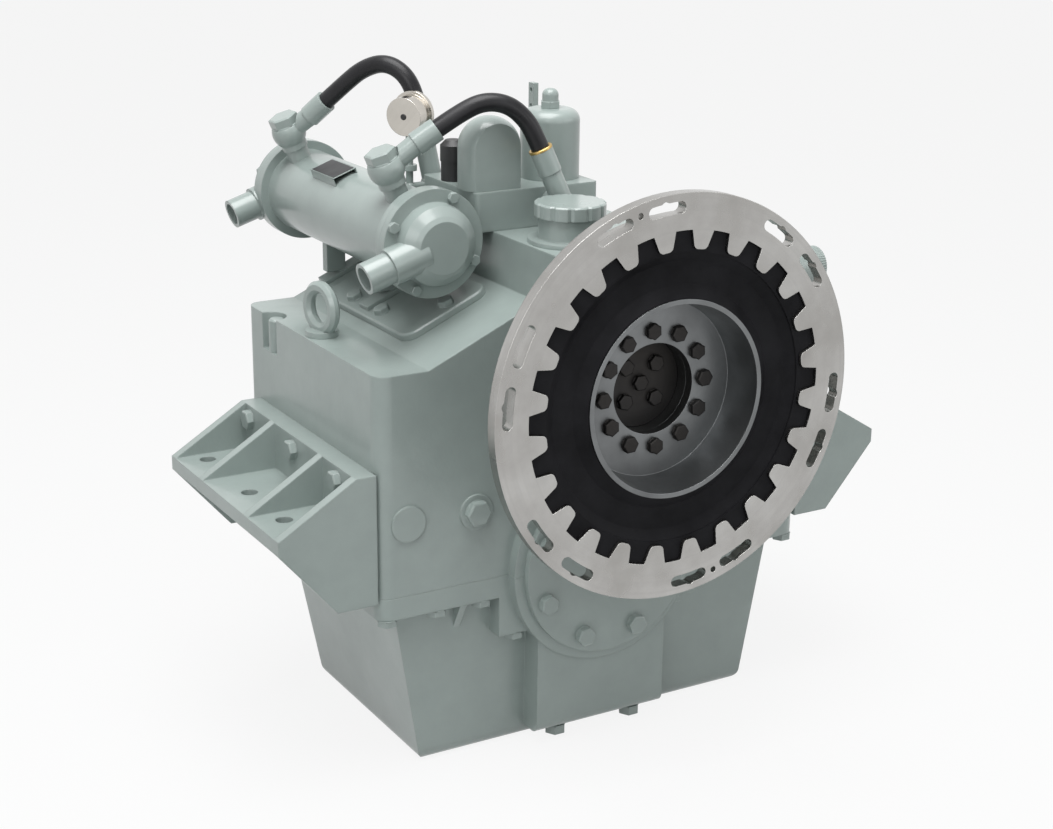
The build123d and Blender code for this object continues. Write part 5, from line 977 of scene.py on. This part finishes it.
class GEARBOX_OT_trim(bpy.types.Operator):
    """Bare plate, gauge dial, brass ring and knurled knob"""

    bl_idname = "gearbox.trim"
    bl_label = "Trim"

    def execute(self, context):
        self.plate(context.scene.gearbox_plate)
        self.gauge(context.scene.gearbox_gauge)
        self.brass_ring()
        self.knob()
        return {"FINISHED"}

    def plate(self, settings):
        """Holder with folded sides on the shell, and the bare plate on it."""
        out = Vector((cos(PLATE_LEAN), 0, sin(PLATE_LEAN)))
        middle = COOLER_LINE + out * PLATE_HEIGHT + Vector((0, PLATE_Y, 0))
        place_at = facing(middle, out, (0, 1, 0)) @ Matrix.Translation((0, PLATE_SHIFT, 0))
        half = settings.width / 2 - PLATE_THICK / 2
        mesh = bmesh.new()
        self.slab(mesh, place_at, (0, 0, -PLATE_THICK / 2),
                  (settings.length, settings.width, PLATE_THICK))
        for side in (-1, 1):
            across = PLATE_SHIFT + side * half
            drop = PLATE_HEIGHT - (COOLER_RADIUS ** 2 - across ** 2) ** 0.5
            self.slab(mesh, place_at, (0, side * half, -drop / 2),
                      (settings.length, PLATE_THICK, drop))
        holder = add_piece("plate_holder", mesh, "case", "smooth_enamel")
        mesh = bmesh.new()
        self.slab(mesh, place_at, (0, 0, PLATE_THICK / 4),
                  (settings.length - 2 * PLATE_BORDER, settings.width - 2 * PLATE_BORDER,
                   PLATE_THICK / 2))
        plate = add_piece("bare_plate", mesh, "case", "plate_black")
        for piece in (holder, plate):
            bevel = piece.modifiers.new("soft_edges", "BEVEL")
            bevel.width = PLATE_BEVEL
            bevel.segments = 2

    @staticmethod
    def slab(mesh, place_at, middle, size):
        """Box of a size about a middle, in a place's own directions."""
        matrix = place_at @ Matrix.Translation(middle) @ Matrix.Diagonal((*size, 1))
        bmesh.ops.create_cube(mesh, size=1, matrix=matrix)

    def gauge(self, settings):
        """White dial with black marks, and the vent plug in the back."""
        place_at = facing(GAUGE_AT, GAUGE_FACING)
        mesh = bmesh.new()
        face = DIAL_DEPTH + DIAL_THICK
        spun(mesh, [(0, DIAL_DEPTH), (DIAL_RADIUS, DIAL_DEPTH), (DIAL_RADIUS, face), (0, face)],
             place_at)
        bmesh.ops.recalc_face_normals(mesh, faces=mesh.faces)
        add_piece("gauge_dial", mesh, "case", "dial_white", smooth=30)
        mesh = bmesh.new()
        for i in range(settings.marks):
            angle = radians(DIAL_START - DIAL_SWEEP * i / (settings.marks - 1))
            turn = Matrix.Rotation(angle, 4, "Z")
            mark = turn @ Matrix.Translation((MARK_RING, 0, face + MARK_THICK / 2))
            length = MARK_LONG if i % 3 == 0 else MARK_SHORT
            size = Matrix.Diagonal((length, MARK_WIDE, MARK_THICK, 1))
            bmesh.ops.create_cube(mesh, size=1, matrix=place_at @ mark @ size)
        add_piece("gauge_marks", mesh, "case", "black_plastic")
        mesh = bmesh.new()
        spun(mesh, [
            (0, GAUGE_BACK), (VENT_RADIUS, GAUGE_BACK), (VENT_RADIUS, GAUGE_BACK + 0.0011),
            (VENT_RADIUS - 0.0007, GAUGE_BACK + 0.0017), (0, GAUGE_BACK + 0.0017),
        ], facing(GAUGE_AT, -GAUGE_FACING), 24)
        bmesh.ops.recalc_face_normals(mesh, faces=mesh.faces)
        add_piece("gauge_vent", mesh, "case", "black_plastic", smooth=30)

    def brass_ring(self):
        """Brass ring where the front hose enters its sleeve."""
        end = Vector(FRONT_ROUTE[-1])
        mesh = bmesh.new()
        spun(mesh, [
            (BRASS_BORE, BRASS_LENGTH), (BRASS_RADIUS - BRASS_CHAMFER, BRASS_LENGTH),
            (BRASS_RADIUS, BRASS_LENGTH - BRASS_CHAMFER), (BRASS_RADIUS, 0.0), (BRASS_BORE, 0.0),
        ], facing(end, Vector(FRONT_ROUTE[-2]) - end))
        bmesh.ops.recalc_face_normals(mesh, faces=mesh.faces)
        add_piece("hose_ring", mesh, "case", "brass", smooth=30)

    def knob(self):
        """Knurled knob of the strainer, in place of the plain one."""
        mesh = bmesh.new()
        place_at = facing(KNOB_AT, (1, 0, 0))
        levels = []
        for share, height in (
            (0.93, 0), (1, 0.0015), (1, KNOB_LENGTH - 0.002), (0.92, KNOB_LENGTH),
        ):
            level = []
            for i in range(2 * KNOB_RIDGES):
                radius = KNOB_RADIUS * share * (1 if i % 2 else KNOB_GROOVE)
                angle = pi * i / KNOB_RIDGES
                level.append(mesh.verts.new(place_at @ Vector((
                    radius * cos(angle), radius * sin(angle), height))))
            levels.append(level)
        for low, high in zip(levels, levels[1:]):
            for i, corner in enumerate(low):
                j = (i + 1) % len(low)
                mesh.faces.new((corner, low[j], high[j], high[i]))
        mesh.faces.new(levels[0])
        mesh.faces.new(levels[-1])
        bmesh.ops.recalc_face_normals(mesh, faces=mesh.faces)
        knob = add_piece("knurled_knob", mesh, "strainer_knob", "smooth_enamel")
        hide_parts("strainer_cap")


class GEARBOX_PT_panel(bpy.types.Panel):
    """Sizes, colours and pieces of the gearbox"""

    bl_idname = "GEARBOX_PT_panel"
    bl_label = "Marine gearbox"
    bl_space_type = "VIEW_3D"
    bl_region_type = "UI"
    bl_category = "Gearbox"

    def draw(self, context):
        for name in SETTINGS:
            settings = getattr(context.scene, name)
            box = self.layout.box()
            for prop in settings.bl_rna.properties:
                if not prop.is_readonly and prop.identifier not in {"name"}:
                    box.prop(settings, prop.identifier)
        for operator in STEPS:
            self.layout.operator(operator)


SETTINGS = {
    "gearbox_paint": PaintSettings,
    "gearbox_metal": MetalSettings,
    "gearbox_screws": ScrewSettings,
    "gearbox_hoses": HoseSettings,
    "gearbox_plate": PlateSettings,
    "gearbox_gauge": GaugeSettings,
    "gearbox_studio": StudioSettings,
}
OPERATORS = (
    GEARBOX_OT_stage,
    GEARBOX_OT_castings,
    GEARBOX_OT_coupling,
    GEARBOX_OT_inner_pieces,
    GEARBOX_OT_screws,
    GEARBOX_OT_hoses,
    GEARBOX_OT_trim,
)
STEPS = tuple(operator.bl_idname for operator in OPERATORS)


def register():
    for settings in SETTINGS.values():
        bpy.utils.register_class(settings)
    for name, settings in SETTINGS.items():
        setattr(bpy.types.Scene, name, PointerProperty(type=settings))
    for operator in OPERATORS:
        bpy.utils.register_class(operator)
    bpy.utils.register_class(GEARBOX_PT_panel)


def unregister():
    bpy.utils.unregister_class(GEARBOX_PT_panel)
    for operator in reversed(OPERATORS):
        bpy.utils.unregister_class(operator)
    for name, settings in SETTINGS.items():
        delattr(bpy.types.Scene, name)
        bpy.utils.unregister_class(settings)


def main():
    register()
    for step in STEPS:
        family, name = step.split(".")
        getattr(getattr(bpy.ops, family), name)()


if __name__ == "__main__":
    main()
